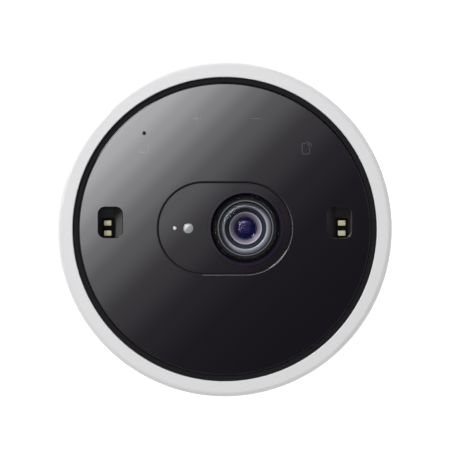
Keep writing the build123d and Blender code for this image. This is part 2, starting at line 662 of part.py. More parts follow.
def power_board():
    """Power board with two coils and a row of capacitors."""
    y = -31.5
    solids = [
        block((-24.0, 24.0), (y - BOARD_T, y), (104.5, 150.0)),
        block((-18.0, -6.0), (y, y + 6.0), (112.0, 124.0)),
        block((2.0, 12.0), (y, y + 5.0), (112.0, 122.0)),
    ]
    for x in (-12.0, 0.0, 12.0):
        solids.append(Pos(x, y + 3.5, 138.0) * Rot(90, 0, 0) * Cylinder(4.0, 7.0))
    return group(solids)


def io_board():
    """Small upright board behind the ports, with the mute switch's housing on it."""
    x = 38.0
    switch = block((x, x + 5.0), (-2.4, 2.4), (SWITCH_Z - 5.0, SWITCH_Z + 5.0))
    switch -= block((x + 3.5, x + 5.0), (-0.9, 0.9), (SWITCH_Z - 2.9, SWITCH_Z + 2.9))
    return group([block((x - BOARD_T, x), (-8.0, 8.0), (110.0, 151.0)), switch])


def port_socket(width, length, radius, z):
    """Sheet-metal socket shell open to +X, with its contact tongue inside."""
    wall = 0.3
    shell = side_slot(width, length, radius, 38.0, 46.0, z)
    shell -= side_slot(width - 2 * wall, length - 2 * wall, radius - wall, 39.0, 46.5, z)
    half = length / 2 - 1.15
    return shell + block((38.5, 45.0), (-0.35, 0.35), (z - half, z + half))


def port_sockets():
    power = port_socket(3.2, 8.9, 1.55, POWER_Z)
    video = port_socket(3.0, 6.5, 0.6, VIDEO_Z)
    return group([power, video])


def mute_slider():
    """Ridged slider that shows in the port plate, with a stem into its switch."""
    low = SWITCH_Z - 0.5
    knob = block((43.1, 46.9), (-1.25, 1.25), (low, low + 3.0))
    for i in (1, 2, 3):
        z = low + 0.75 * i
        knob -= block((46.7, 47.0), (-1.25, 1.25), (z - 0.12, z + 0.12))
    return knob + block((41.7, 43.1), (-0.8, 0.8), (low + 0.7, low + 2.3))


# speaker
def speaker_outline(r, flat_y, z0, z1):
    return disc(r, z0, z1) & block((-r, r), (-flat_y, flat_y), (z0, z1))


def speaker_box():
    z0, z1 = BOX_Z
    box = speaker_outline(BOX_R, BOX_FLAT_Y, z0, z1)
    box -= speaker_outline(BOX_R - 2, BOX_FLAT_Y - 2, z0 + 2, z1)
    box -= disc(DRIVER_R - 4.5, z0, z0 + 2)
    for x, y in ring_of(4, REAR_SCREW_R, 45.0):
        box += disc(CASE_POST_R + 0.2, z0, z0 + 7, x, y)
        box -= disc(CASE_HOLE_R, z0, z0 + 6.5, x, y)
    for side in SIDES:
        box -= Pos(0, side * BOX_FLAT_Y, RADIATOR_Z) * Rot(90, 0, 0) * Cylinder(13.0, 6.0)
    return box


def speaker_lid():
    zs = (BOX_Z[1], BOX_Z[1] + LID_T)
    return disc(LOW_POST_R + 1.9, *zs) & block((-38.0, 38.0), (-45.0, 45.0), zs)


def driver_frame():
    """Loudspeaker basket with four windows, and the ring magnet and pole on its back."""
    z = BOX_Z[0]
    frame = tube(DRIVER_R, 17.3, z - 1.6, z) + tube(17.4, 16.4, z - 0.5, z + 8)
    for turn in (0, 90, 180, 270):
        frame -= Rot(0, 0, turn) * block((8.0, 20.0), (-5.0, 5.0), (z + 2.6, z + 6.4))
    frame += tube(17.4, 9.0, z + 7, z + 8)
    magnet = tube(14.0, 7.2, z + 8, z + 14) + disc(14.0, z + 14, z + 16) + disc(5.6, z + 9, z + 16)
    return group([frame, magnet])


def driver_cone():
    """Cone with its voice-coil former and a small dust dome."""
    z = BOX_Z[0] - 0.6
    cone = lathe(
        (CONE_R, z - 0.5), (CONE_R, z), (6.9, z + 5.4), (6.9, z + 10.0), (6.1, z + 10.0),
        (6.1, z + 5.0), (CONE_R - 0.6, z - 0.5),
    )
    span, height, skin = 7.6, 1.6, 0.5
    dome_r = (span * span + height * height) / (2 * height)
    middle = Pos(0, 0, z + 4.8 - height + dome_r)
    dome = middle * Sphere(dome_r) - middle * Sphere(dome_r - skin)
    return cone + (dome & disc(span, z, z + 4.9))


def passive_radiator(side):
    plate = Rot(90, 0, 0) * Cylinder(RADIATOR_R, 1.4)
    plate += Rot(90, 0, 0) * Cylinder(RADIATOR_R - 4, 2.6)
    return Pos(0, side * (BOX_FLAT_Y - 1.0), RADIATOR_Z) * plate


def rubber_surrounds():
    """Flexible rolls round the speaker's cone and round each passive radiator."""
    z = BOX_Z[0] - 0.6
    roll = Pos(0, 0, z) * Torus(16.3, 0.75)
    rings = [roll & disc(30.0, z - 2, z)]
    for side in SIDES:
        ring = Rot(90, 0, 0) * (Cylinder(12.95, 1.2) - Cylinder(RADIATOR_R + 0.2, 1.2))
        rings.append(Pos(0, side * (BOX_FLAT_Y - 1.0), RADIATOR_Z) * ring)
    return group(rings)


# tilt hinge
def hinge_brackets():
    plates = []
    for side in SIDES:
        near_x, far_x = BRACKET_X
        xs = sorted((side * near_x, side * far_x))
        tab_xs = sorted((side * (near_x - 5.2), side * far_x))
        ys = (-BRACKET_HALF_W, BRACKET_HALF_W)
        plate = block(xs, ys, (PIVOT_Z - 12.0, DECK_Z[0]))
        plate += block(tab_xs, ys, (DECK_Z[0] - (far_x - near_x), DECK_Z[0]))
        plates.append(plate - side_disc(side, BUSH_R + RUN_GAP, near_x - 1, far_x + 1))
    return group(plates)


def hinge_bushes():
    """Flanged bushes in which the pins turn."""
    bore_r, flange_r, flange_t = PIN_R + RUN_GAP, 8.5, 1.0
    bushes = []
    for side in SIDES:
        bush = side_tube(side, BUSH_R, bore_r, *BUSH_X)
        bushes.append(bush + side_tube(side, flange_r, bore_r, BUSH_X[0] - flange_t, BUSH_X[0]))
    return group(bushes)


def friction_washers():
    """Thin spring washers between each clip and its bush, whose grip holds the tilt."""
    washers = []
    first_x, thickness = CLIP_GROOVE_X[1] + 0.15, 0.3
    for side in SIDES:
        for i in range(WASHERS):
            x0 = first_x + WASHER_PITCH * i
            washers.append(side_tube(side, 7.0, PIN_R + 0.2, x0, x0 + thickness))
    return group(washers)


def pivot_pins():
    """Headed pins that carry the tilting head, each with a spring clip in its groove."""
    solids = []
    (groove_x0, groove_x1), head_x = CLIP_GROOVE_X, PIN_HEAD_X
    for side in SIDES:
        pin = side_disc(side, PIN_R, groove_x0 - 0.4, head_x[0])
        pin -= side_tube(side, PIN_R + 1, CLIP_GROOVE_R, groove_x0, groove_x1)
        solids.append(pin + side_disc(side, PIN_HEAD_R, *head_x))
        clip_xs = (groove_x0 + RUN_GAP, groove_x1 - RUN_GAP)
        solids.append(side_tube(side, 5.0, CLIP_GROOVE_R + RUN_GAP, *clip_xs))
    return group(solids)


def slip_washers():
    return group(side_tube(side, 9.0, PIN_R + 0.1, BODY_R + 0.1, ARM_IN_X) for side in SIDES)


def pivot_cap(side):
    outer = ARM_IN_X + ARM_T
    cap = side_disc(side, CAP_R, outer, outer + CAP_T)
    edge = cap.edges().filter_by(GeomType.CIRCLE).sort_by(Axis.X)
    return fillet(edge[-1] if side > 0 else edge[0], 0.4)


# cradle and base
def u_section(half_x, low_z, bend_r, half_y):
    """Prism along Y whose XZ section is a tall rectangle with its two lower corners rounded."""
    high_z = PIVOT_Z + 40.0
    section = Plane.XZ * Pos(0, (low_z + high_z) / 2) * Rectangle(2 * half_x, high_z - low_z)
    corners = section.vertices().sort_by(Axis.Z)[:2]
    return extrude(fillet(corners, bend_r), half_y, both=True)


def cradle_frame():
    """U-shaped strap with round-ended arms, bored for the pins and tapped for the base screws."""
    outer_x, half_w = ARM_IN_X + ARM_T, ARM_W / 2
    outer = u_section(outer_x, STRAP_Z, ARM_BEND_R + ARM_T, half_w)
    inner = u_section(ARM_IN_X, STRAP_Z + ARM_T, ARM_BEND_R, ARM_W)
    tip = Pos(0, 0, PIVOT_Z) * Rot(0, 90, 0) * Cylinder(half_w, 3 * outer_x)
    legs = block((-outer_x - 1, outer_x + 1), (-half_w, half_w), (0.0, PIVOT_Z))
    frame = (outer - inner) & (tip + legs)
    rims = frame.edges().filter_by(lambda e: not on_inside_of_strap(e, half_w))
    frame = fillet(rims, ARM_EDGE_R)
    for side in SIDES:
        frame -= side_disc(side, PIN_R + 0.02, ARM_IN_X - 1, outer_x + 1)
        frame -= side_disc(side, PIN_HEAD_R + 0.1, PIN_HEAD_X[0], outer_x + 1)
    for x, y in base_screw_points():
        frame -= disc(BASE_SCREW_R + RUN_GAP, STRAP_Z - 1, STRAP_Z + 1.8, x, y)
    return frame


def on_inside_of_strap(edge, half_w):
    """True for an edge that runs across the strap, and False for one along its rim."""
    ends = [edge.position_at(t) for t in (0.0, 0.5, 1.0)]
    return not all(abs(hypot(p.Y, max(p.Z - PIVOT_Z, 0.0)) - half_w) < 0.01 for p in ends)


def base_screw_points():
    return [(x, y) for x in (-10.0, 10.0) for y in (-9.0, 9.0)]


def base_shell():
    """Round cover with a channel across its top that the cradle lies in."""
    low_z, gap = 2.2, 0.1
    shell = disc(BASE_R, low_z, BASE_TOP_Z)
    shell = fillet(top_circle(shell, BASE_R, BASE_TOP_Z), BASE_EDGE_R)
    shell = fillet(top_circle(shell, BASE_R, low_z), BASE_LOW_EDGE_R)
    shell -= disc(PLATE_R + 0.2, low_z - 1, BALLAST_Z[0])
    shell -= disc(BASE_R - BASE_WALL, BALLAST_Z[0], STRAP_Z - BASE_WALL)
    slot_x, slot_r = ARM_IN_X + ARM_T + gap, ARM_BEND_R + ARM_T + gap
    shell -= u_section(slot_x, STRAP_Z, slot_r, ARM_W / 2 + 1.5 * gap)
    for x, y in base_screw_points():
        shell -= disc(BASE_HOLE_R, STRAP_Z - 3, STRAP_Z, x, y)
    return shell


def base_plate():
    z0, z1 = PLATE_Z
    plate = disc(PLATE_R, z0, z1) - tube(FOOT_R[1] + 0.1, FOOT_R[0] - 0.1, z0, FOOT_T)
    plate -= disc(INSERT_R + RUN_GAP, z0 - 1, z1 + 1)
    for x, y in base_screw_points():
        plate -= disc(HEAD_R + 0.3, z0 - 1, z1 + 1, x, y)
    return plate


def base_foot():
    ring = tube(FOOT_R[1], FOOT_R[0], 0.0, FOOT_T)
    edges = ring.edges().filter_by(GeomType.CIRCLE).sort_by(Axis.Z)[:2]
    return fillet(edges, FOOT_EDGE_R)


def base_ballast():
    z0, z1 = BALLAST_Z
    ballast = disc(BALLAST_R, z0, z1) - disc(INSERT_R + 0.1, z0, z1)
    for x, y in base_screw_points():
        ballast -= disc(BASE_HOLE_R + 0.1, z0, z1, x, y)
    return ballast


def tripod_insert():
    z0 = PLATE_Z[0]
    return disc(INSERT_R, z0, BALLAST_Z[1] + 0.1) - disc(TRIPOD_R, z0, z0 + TRIPOD_DEPTH)


def base_screws():
    """Four screws through the base that hold the cradle down."""
    head_z = (1.9, BALLAST_Z[0])
    return group(
        cross_head(*head_z, x, y) + disc(BASE_SCREW_R, head_z[1] - 0.1, STRAP_Z + 1.6, x, y)
        for x, y in base_screw_points()
    )


# assembly
PARTS = {
    # cradle
    "base_foot": base_foot,
    "base_plate": base_plate,
    "base_ballast": base_ballast,
    "base_shell": base_shell,
    "base_screws": base_screws,
    "tripod_insert": tripod_insert,
    "cradle_frame": cradle_frame,
    "pivot_pins": pivot_pins,
    "slip_washers": slip_washers,
    "pivot_caps": lambda: group(pivot_cap(side) for side in SIDES),
    # head, outside
    "front_rim": front_rim,
    "main_shell": main_shell,
    "vent_grille": vent_grille,
    "grille_cloth": grille_cloth,
    "rear_cap": rear_cap,
    "head_screws": head_screws,
    "port_plate": port_plate,
    # head, front face
    "front_glass": front_glass,
    "bezel_gasket": bezel_gasket,
    "touch_board": touch_board,
    "front_frame": front_frame,
    "lens_plate": lens_plate,
    "lens_trim_ring": lens_trim_ring,
    "sensor_windows": sensor_windows,
    "range_sensor": range_sensor,
    "status_light_pipe": status_light_pipe,
    "pocket_wells": lambda: group(pocket_well(side) for side in SIDES),
    "contact_blocks": lambda: group(contact_block(side) for side in SIDES),
    "contact_pads": contact_pads,
    # focusing lens
    "lens_mount": lens_mount,
    "focus_motor": focus_motor,
    "focus_screw": focus_screw,
    "focus_barrel": focus_barrel,
    "front_lens": front_lens,
    "barrel_rings": barrel_rings,
    "inner_lenses": inner_lenses,
    # light engine and cooling
    "engine_housing": engine_housing,
    "engine_optics": engine_optics,
    "led_modules": led_modules,
    "dmd_board": dmd_board,
    "heat_pipe": heat_pipe,
    "heatsink": heatsink,
    "fan_frame": fan_frame,
    "fan_rotor": fan_rotor,
    "chassis_deck": chassis_deck,
    # electronics
    "mainboard": mainboard,
    "power_board": power_board,
    "io_board": io_board,
    "port_sockets": port_sockets,
    "mute_slider": mute_slider,
    # speaker
    "speaker_box": speaker_box,
    "speaker_lid": speaker_lid,
    "driver_frame": driver_frame,
    "driver_cone": driver_cone,
    "rubber_surrounds": rubber_surrounds,
    "radiator_right": lambda: passive_radiator(-1),
    "radiator_left": lambda: passive_radiator(1),
    # tilt hinge
    "hinge_brackets": hinge_brackets,
    "hinge_bushes": hinge_bushes,
    "friction_washers": friction_washers,
}


def main():
    os.makedirs("parts", exist_ok=True)
    for name, make in PARTS.items():
        export_step(make(), f"parts/{name}.step")


if __name__ == "__main__":
    main()
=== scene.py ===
import math

import bmesh
import bpy
from mathutils import Matrix, Vector


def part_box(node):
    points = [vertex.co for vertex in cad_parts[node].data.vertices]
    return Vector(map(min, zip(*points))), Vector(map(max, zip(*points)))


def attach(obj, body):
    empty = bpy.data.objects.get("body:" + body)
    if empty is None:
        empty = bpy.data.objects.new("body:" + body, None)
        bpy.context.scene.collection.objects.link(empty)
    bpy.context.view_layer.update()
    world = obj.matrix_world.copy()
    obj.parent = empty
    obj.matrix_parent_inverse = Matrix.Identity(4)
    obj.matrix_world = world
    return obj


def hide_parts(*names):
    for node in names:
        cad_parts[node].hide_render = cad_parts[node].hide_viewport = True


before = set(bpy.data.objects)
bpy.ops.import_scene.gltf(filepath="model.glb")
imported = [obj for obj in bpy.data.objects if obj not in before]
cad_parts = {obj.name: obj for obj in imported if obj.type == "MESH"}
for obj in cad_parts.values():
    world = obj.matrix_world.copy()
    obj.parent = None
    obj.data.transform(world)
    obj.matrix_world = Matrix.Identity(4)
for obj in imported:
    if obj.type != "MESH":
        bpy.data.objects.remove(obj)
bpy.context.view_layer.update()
mm = 0.001
mmPerMetre = 1000.0
print("frame loaded:", len(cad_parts), "parts")

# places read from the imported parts
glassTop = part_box("front_glass")[1].z
lensLow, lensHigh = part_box("front_lens")
lensAxis = Vector(((lensLow.x + lensHigh.x) / 2, (lensLow.y + lensHigh.y) / 2, 0))
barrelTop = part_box("focus_barrel")[1].z
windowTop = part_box("lens_plate")[1].z
padLow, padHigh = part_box("contact_pads")


def meshFrom(name, bm):
    bmesh.ops.remove_doubles(bm, verts=bm.verts, dist=1e-7)
    bmesh.ops.recalc_face_normals(bm, faces=bm.faces)
    mesh = bpy.data.meshes.new(name)
    bm.to_mesh(mesh)
    bm.free()
    return mesh


def addObject(name, content):
    made = bpy.data.objects.new(name, content)
    bpy.context.scene.collection.objects.link(made)
    return made


def addPiece(name, mesh, finish, body, stands=(), creaseAngle=35):
    piece = addObject(name, mesh)
    mesh.materials.append(finish)
    mesh.shade_smooth()
    mesh.set_sharp_from_angle(angle=math.radians(creaseAngle))
    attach(piece, body)
    if stands:
        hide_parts(*stands)
    return piece


def roundCorners(outline, radius, steps):
    # each corner of a closed outline becomes a short arc
    rounded = []
    for i, corner in enumerate(outline):
        here = Vector(corner)
        before = Vector(outline[i - 1]) - here
        after = Vector(outline[(i + 1) % len(outline)]) - here
        reach = min(radius, before.length * 0.4, after.length * 0.4)
        start = here + before.normalized() * reach
        end = here + after.normalized() * reach
        for k in range(steps + 1):
            t = k / steps
            rounded.append((1 - t) ** 2 * start + 2 * t * (1 - t) * here + t * t * end)
    return rounded


def turnedMesh(name, outline, centre, sides=128, soft=0.0, steps=3):
    # a closed outline of (radius, height), turned about the upright line through centre
    if soft:
        outline = roundCorners(outline, soft, steps)
    bm = bmesh.new()
    rings = []
    for k in range(sides):
        turn = 2 * math.pi * k / sides
        c, s = math.cos(turn), math.sin(turn)
        rings.append([bm.verts.new((centre.x + p[0] * c, centre.y + p[0] * s, p[1]))
                      for p in outline])
    for k in range(sides):
        a, b = rings[k], rings[(k + 1) % sides]
        for i in range(len(outline)):
            j = (i + 1) % len(outline)
            bm.faces.new((a[i], b[i], b[j], a[j]))
    return meshFrom(name, bm)


def domeOutline(radius, edgeLow, edgeHigh, rise, steps=24):
    # flat below and round above, from the middle out to the edge and back
    sphere = (radius ** 2 + rise ** 2) / (2 * rise)
    outline = [(0, edgeLow), (radius, edgeLow)]
    for k in range(steps + 1):
        r = radius * (1 - k / steps)
        outline.append((r, edgeHigh + rise - sphere + math.sqrt(sphere ** 2 - r ** 2)))
    return outline


def strokeSides(points, closed, width, sharpest=0.35):
    # the two edges of a pen stroke; sharpest keeps a tight mitre from shooting out
    left, right = [], []
    last = len(points) - 1
    for i, here in enumerate(points):
        before = points[i - 1] if closed or i else here
        after = points[(i + 1) % len(points)] if closed or i < last else here
        inward = (here - before).normalized() if (here - before).length else Vector((0, 0))
        onward = (after - here).normalized() if (after - here).length else Vector((0, 0))
        along = (inward + onward).normalized()
        side = Vector((-along.y, along.x))
        reference = onward if onward.length else inward
        cosine = max(sharpest, abs(side.dot(Vector((-reference.y, reference.x)))))
        offset = side * (width / 2 / cosine)
        left.append(here + offset)
        right.append(here - offset)
    return left, right


def strokeMesh(name, strokes, width, low, thickness):
    # flat strokes of ink; each stroke is (points, closed)
    bm = bmesh.new()
    for points, closed in strokes:
        count = len(points)
        sides = strokeSides(points, closed, width)
        lowLeft, lowRight, highLeft, highRight = [
            [bm.verts.new((p.x, p.y, z)) for p in row]
            for z in (low, low + thickness) for row in sides]
        for i in range(count if closed else count - 1):
            j = (i + 1) % count
            bm.faces.new((highLeft[i], highRight[i], highRight[j], highLeft[j]))
            bm.faces.new((lowLeft[i], lowLeft[j], lowRight[j], lowRight[i]))
            bm.faces.new((lowLeft[i], highLeft[i], highLeft[j], lowLeft[j]))
            bm.faces.new((lowRight[i], lowRight[j], highRight[j], highRight[i]))
        if not closed:
            for i in (0, -1):
                bm.faces.new((lowLeft[i], lowRight[i], highRight[i], highLeft[i]))
    return meshFrom(name, bm)


def arcPoints(centre, radius, startDegrees, endDegrees, steps=28):
    sweep = endDegrees - startDegrees
    turns = [math.radians(startDegrees + sweep * k / steps) for k in range(steps + 1)]
    return [centre + Vector((math.cos(t), math.sin(t))) * radius for t in turns]


def newGroup(name, inputs, outputs):
    group = bpy.data.node_groups.new(name, "ShaderNodeTree")
    for label, kind, value in inputs:
        socket = group.interface.new_socket(
            name=label, in_out="INPUT", socket_type="NodeSocket" + kind)
        socket.default_value = value
    for label, kind in outputs:
        group.interface.new_socket(
            name=label, in_out="OUTPUT", socket_type="NodeSocket" + kind)
    return group, group.nodes.new("NodeGroupInput").outputs, group.nodes.new("NodeGroupOutput")


def putOut(group, result, values):
    for label, value in values.items():
        group.links.new(value, result.inputs[label])
    return group


def feed(tree, value, socket):
    # a plain value is set on the socket, and another node's output is linked to it
    if isinstance(value, (int, float, tuple)):
        socket.default_value = value
    elif value is not None:
        tree.links.new(value, socket)


def mathNode(tree, operation, first, second=None):
    node = tree.nodes.new("ShaderNodeMath")
    node.operation = operation
    feed(tree, first, node.inputs[0])
    feed(tree, second, node.inputs[1])
    return node.outputs[0]


def product(tree, first, second):
    return mathNode(tree, "MULTIPLY", first, second)


def shifted(tree, value, factor, base):
    # value times factor, plus base
    return mathNode(tree, "ADD", product(tree, value, factor), base)


def mixColour(tree, factor, first, second):
    node = tree.nodes.new("ShaderNodeMix")
    node.data_type = "RGBA"
    feed(tree, factor, node.inputs["Factor"])
    feed(tree, first, node.inputs[6])
    feed(tree, second, node.inputs[7])
    return node.outputs[2]


def scaleColour(tree, colour, factor):
    node = tree.nodes.new("ShaderNodeVectorMath")
    node.operation = "SCALE"
    feed(tree, colour, node.inputs[0])
    feed(tree, factor, node.inputs["Scale"])
    return node.outputs[0]


def noiseNode(tree, vector, scale, detail=3.0):
    node = tree.nodes.new("ShaderNodeTexNoise")
    feed(tree, vector, node.inputs["Vector"])
    feed(tree, detail, node.inputs["Detail"])
    feed(tree, scale, node.inputs["Scale"])
    return node.outputs["Fac"]


def voronoiNode(tree, vector, scale, **settings):
    node = tree.nodes.new("ShaderNodeTexVoronoi")
    for label, value in settings.items():
        setattr(node, label, value)
    feed(tree, vector, node.inputs["Vector"])
    feed(tree, scale, node.inputs["Scale"])
    return node


def splitPlace(tree, space="Object"):
    # the place on the surface, whole and as its X, Y and Z
    place = tree.nodes.new("ShaderNodeTexCoord").outputs[space]
    split = tree.nodes.new("ShaderNodeSeparateXYZ")
    tree.links.new(place, split.inputs[0])
    return place, split.outputs


def fromAxis(group, given, parts):
    # distance in metres from the upright axis that the group is given
    acrossX = mathNode(group, "SUBTRACT", parts["X"], given["Axis X"])
    acrossY = mathNode(group, "SUBTRACT", parts["Y"], given["Axis Y"])
    squares = mathNode(group, "ADD", product(group, acrossX, acrossX),
                       product(group, acrossY, acrossY))
    return mathNode(group, "SQRT", squares)


surfaceOutputs = [("Colour", "Color"), ("Roughness", "Float"), ("Height", "Float")]

# how far tone and gloss wander on a moulded, cast or brushed surface
grainLook = {"slowScale": 38.0, "slowDetail": 2.0, "fineShare": 0.5, "glossDrift": 0.14}


def makeFineGrain(look):
    # fine relief with slow drifts of tone and gloss
    group, given, result = newGroup("fineGrain", [
        ("Colour", "Color", (0.8, 0.8, 0.8, 1)), ("Roughness", "Float", 0.4),
        ("Grain Size mm", "Float", 0.3), ("Drift", "Float", 0.03),
        ("Stretch", "Vector", (1, 1, 1)),
    ], surfaceOutputs)
    place, _ = splitPlace(group)
    stretched = group.nodes.new("ShaderNodeVectorMath")
    stretched.operation = "MULTIPLY"
    feed(group, place, stretched.inputs[0])
    feed(group, given["Stretch"], stretched.inputs[1])
    grainScale = mathNode(group, "DIVIDE", mmPerMetre, given["Grain Size mm"])
    grain = noiseNode(group, stretched.outputs[0], grainScale)
    slow = noiseNode(group, place, look["slowScale"], look["slowDetail"])
    both = shifted(group, mathNode(group, "SUBTRACT", grain, 0.5), look["fineShare"],
                   mathNode(group, "SUBTRACT", slow, 0.5))
    shade = shifted(group, both, given["Drift"], 1.0)
    gloss = shifted(group, both, look["glossDrift"], 1.0)
    return putOut(group, result, {
        "Colour": scaleColour(group, given["Colour"], shade),
        "Roughness": product(group, given["Roughness"], gloss),
        "Height": grain,
    })


turnedLook = {"blotchScale": 420.0, "glossLow": 0.85, "glossRange": 0.3,
              "toneLow": 0.94, "toneRange": 0.12}


def makeTurnedLines(look):
    # fine rings left by a lathe about an upright axis
    group, given, result = newGroup("turnedLines", [
        ("Colour", "Color", (0.03, 0.03, 0.03, 1)), ("Roughness", "Float", 0.35),
        ("Line Pitch mm", "Float", 0.25), ("Axis X", "Float", 0.0), ("Axis Y", "Float", 0.0),
    ], surfaceOutputs)
    place, parts = splitPlace(group)
    reach = mathNode(group, "ADD", fromAxis(group, given, parts), parts["Z"])
    turns = mathNode(group, "DIVIDE", 2 * math.pi * mmPerMetre, given["Line Pitch mm"])
    wave = mathNode(group, "SINE", product(group, reach, turns))
    height = shifted(group, wave, 0.5, 0.5)
    blotch = noiseNode(group, place, look["blotchScale"])
    gloss = shifted(group, blotch, look["glossRange"], look["glossLow"])
    shade = shifted(group, height, look["toneRange"], look["toneLow"])
    return putOut(group, result, {
        "Colour": scaleColour(group, given["Colour"], shade),
        "Roughness": product(group, given["Roughness"], gloss),
        "Height": height,
    })


weaveLook = {"fuzzScale": 6000.0, "fuzzHeight": 0.2, "glossLow": 0.75, "glossRange": 0.2}


def makeWeaveCloth(look):
    # plain weave on an upright drum: over and under threads with small open holes
    group, given, result = newGroup("weaveCloth", [
        ("Thread", "Color", (0.1, 0.1, 0.11, 1)), ("Hole", "Color", (0.01, 0.01, 0.01, 1)),
        ("Pitch mm", "Float", 0.55), ("Drum Radius", "Float", 0.043),
    ], surfaceOutputs)
    place, parts = splitPlace(group)
    turn = mathNode(group, "ARCTAN2", parts["Y"], parts["X"])
    around = product(group, turn, given["Drum Radius"])
    turns = mathNode(group, "DIVIDE", math.pi * mmPerMetre, given["Pitch mm"])
    warp, weft = [mathNode(group, "ABSOLUTE", mathNode(group, "SINE", product(group, way, turns)))
                  for way in (around, parts["Z"])]
    crossing = product(group, warp, weft)
    fuzz = noiseNode(group, place, look["fuzzScale"])
    return putOut(group, result, {
        "Colour": mixColour(group, crossing, given["Hole"], given["Thread"]),
        "Roughness": shifted(group, fuzz, look["glossRange"], look["glossLow"]),
        "Height": shifted(group, fuzz, look["fuzzHeight"], crossing),
    })


boardLook = {"trackScale": 420.0, "trackWaves": 30.0, "trackEdge": 0.25,
             "padScale": 330.0, "padScatter": 0.4, "padSize": 0.17,
             "maskRoughness": 0.3, "trackRoughness": 0.08}


def makeBoardTraces(look):
    # solder mask with raised tracks and tinned pads
    group, given, result = newGroup("boardTraces", [
        ("Mask", "Color", (0.01, 0.11, 0.06, 1)), ("Track", "Color", (0.03, 0.24, 0.13, 1)),
        ("Pad", "Color", (0.72, 0.66, 0.45, 1)),
    ], surfaceOutputs)
    place, _ = splitPlace(group)
    cells = voronoiNode(group, place, look["trackScale"], distance="CHEBYCHEV", feature="F1")
    waves = mathNode(group, "SINE", product(group, cells.outputs["Distance"], look["trackWaves"]))
    tracks = mathNode(group, "GREATER_THAN", waves, look["trackEdge"])
    dots = voronoiNode(group, place, look["padScale"])
    dots.inputs["Randomness"].default_value = look["padScatter"]
    pads = mathNode(group, "LESS_THAN", dots.outputs["Distance"], look["padSize"])
    board = mixColour(group, tracks, given["Mask"], given["Track"])
    return putOut(group, result, {
        "Colour": mixColour(group, pads, board, given["Pad"]),
        "Roughness": shifted(group, tracks, look["trackRoughness"], look["maskRoughness"]),
        "Height": mathNode(group, "ADD", tracks, pads),
    })


def makeFaintSmudge(detail=4.0):
    # barely seen cloudiness in the gloss of polished glass
    group, given, result = newGroup("faintSmudge", [
        ("Clean", "Float", 0.0), ("Smudged", "Float", 0.02), ("Patch Size mm", "Float", 14.0),
    ], [("Roughness", "Float"), ("Mask", "Float")])
    place, _ = splitPlace(group)
    patchScale = mathNode(group, "DIVIDE", mmPerMetre, given["Patch Size mm"])
    patches = noiseNode(group, place, patchScale, detail)
    mask = product(group, patches, patches)
    spread = mathNode(group, "SUBTRACT", given["Smudged"], given["Clean"])
    return putOut(group, result, {
        "Roughness": shifted(group, mask, spread, given["Clean"]),
        "Mask": mask,
    })


def makeCoatingRings():
    # colour that shifts with distance from the lens axis: an anti-reflection coating on the inner
    # lens, and painted shade that darkens the funnel towards its deep inner edge and the seat round
    # the inner lens
    group, given, result = newGroup("coatingAndShadeRings", [
        ("Middle", "Color", (0.01, 0.008, 0.1, 1)), ("Edge", "Color", (0.02, 0.01, 0.06, 1)),
        ("Axis X", "Float", 0.0), ("Axis Y", "Float", 0.0),
        ("Radius", "Float", 0.003), ("Falloff", "Float", 2.0),
    ], [("Colour", "Color")])
    _, parts = splitPlace(group)
    share = mathNode(group, "DIVIDE", fromAxis(group, given, parts), given["Radius"])
    curved = mathNode(group, "POWER", share, given["Falloff"])
    blend = mathNode(group, "MINIMUM", curved, 1.0)
    return putOut(group, result, {
        "Colour": mixColour(group, blend, given["Middle"], given["Edge"]),
    })


bevelLook = {"cloudScale": 75.0, "cloudDetail": 4.0, "cloudRoughness": 0.01}


def makeLensBevelPrint(look):
    # tells the bevel round the lens from the plate about it, with a thin line between them
    group, given, result = newGroup("lensBevelPrint", [
        ("Glass", "Color", (0.01, 0.01, 0.01, 1)), ("Bevel", "Color", (0.01, 0.01, 0.02, 1)),
        ("Line", "Color", (0, 0, 0, 1)), ("Axis X", "Float", 0.0), ("Axis Y", "Float", 0.0),
        ("Radius mm", "Float", 10.9), ("Line Width mm", "Float", 0.2),
    ], [("Colour", "Color"), ("Roughness", "Float"), ("Mask", "Float")])
    place, parts = splitPlace(group)
    reach = product(group, fromAxis(group, given, parts), mmPerMetre)
    beyond = mathNode(group, "SUBTRACT", reach, given["Radius mm"])
    inside = mathNode(group, "LESS_THAN", beyond, 0.0)
    half = product(group, given["Line Width mm"], 0.5)
    onLine = mathNode(group, "LESS_THAN", mathNode(group, "ABSOLUTE", beyond), half)
    plate = mixColour(group, inside, given["Glass"], given["Bevel"])
    cloud = noiseNode(group, place, look["cloudScale"], look["cloudDetail"])
    return putOut(group, result, {
        "Colour": mixColour(group, onLine, plate, given["Line"]),
        "Roughness": product(group, cloud, look["cloudRoughness"]),
        "Mask": inside,
    })


fineGrain = makeFineGrain(grainLook)
turnedLines = makeTurnedLines(turnedLook)
weaveCloth = makeWeaveCloth(weaveLook)
boardTraces = makeBoardTraces(boardLook)
faintSmudge = makeFaintSmudge()
coatingAndShadeRings = makeCoatingRings()
lensBevelPrint = makeLensBevelPrint(bevelLook)
print("node groups made")


def newFinish(name, plain):
    # a material whose constant values sit on the shader's own sockets
    finish = bpy.data.materials.new(name)
    finish.use_nodes = True
    shader = finish.node_tree.nodes["Principled BSDF"]
    for label, value in plain.items():
        shader.inputs[label].default_value = value
    return finish, finish.node_tree, shader


def useGroup(tree, shader, group, values, relief=0.0):
    # relief is the depth in mm that the group's height stands for
    node = tree.nodes.new("ShaderNodeGroup")
    node.node_tree = group
    for label, value in values.items():
        node.inputs[label].default_value = value
    for output, target in (("Colour", "Base Color"), ("Roughness", "Roughness")):
        if output in node.outputs:
            tree.links.new(node.outputs[output], shader.inputs[target])
    if relief:
        bump = tree.nodes.new("ShaderNodeBump")
        bump.inputs["Distance"].default_value = relief * mm
        tree.links.new(node.outputs["Height"], bump.inputs["Height"])
        tree.links.new(bump.outputs["Normal"], shader.inputs["Normal"])


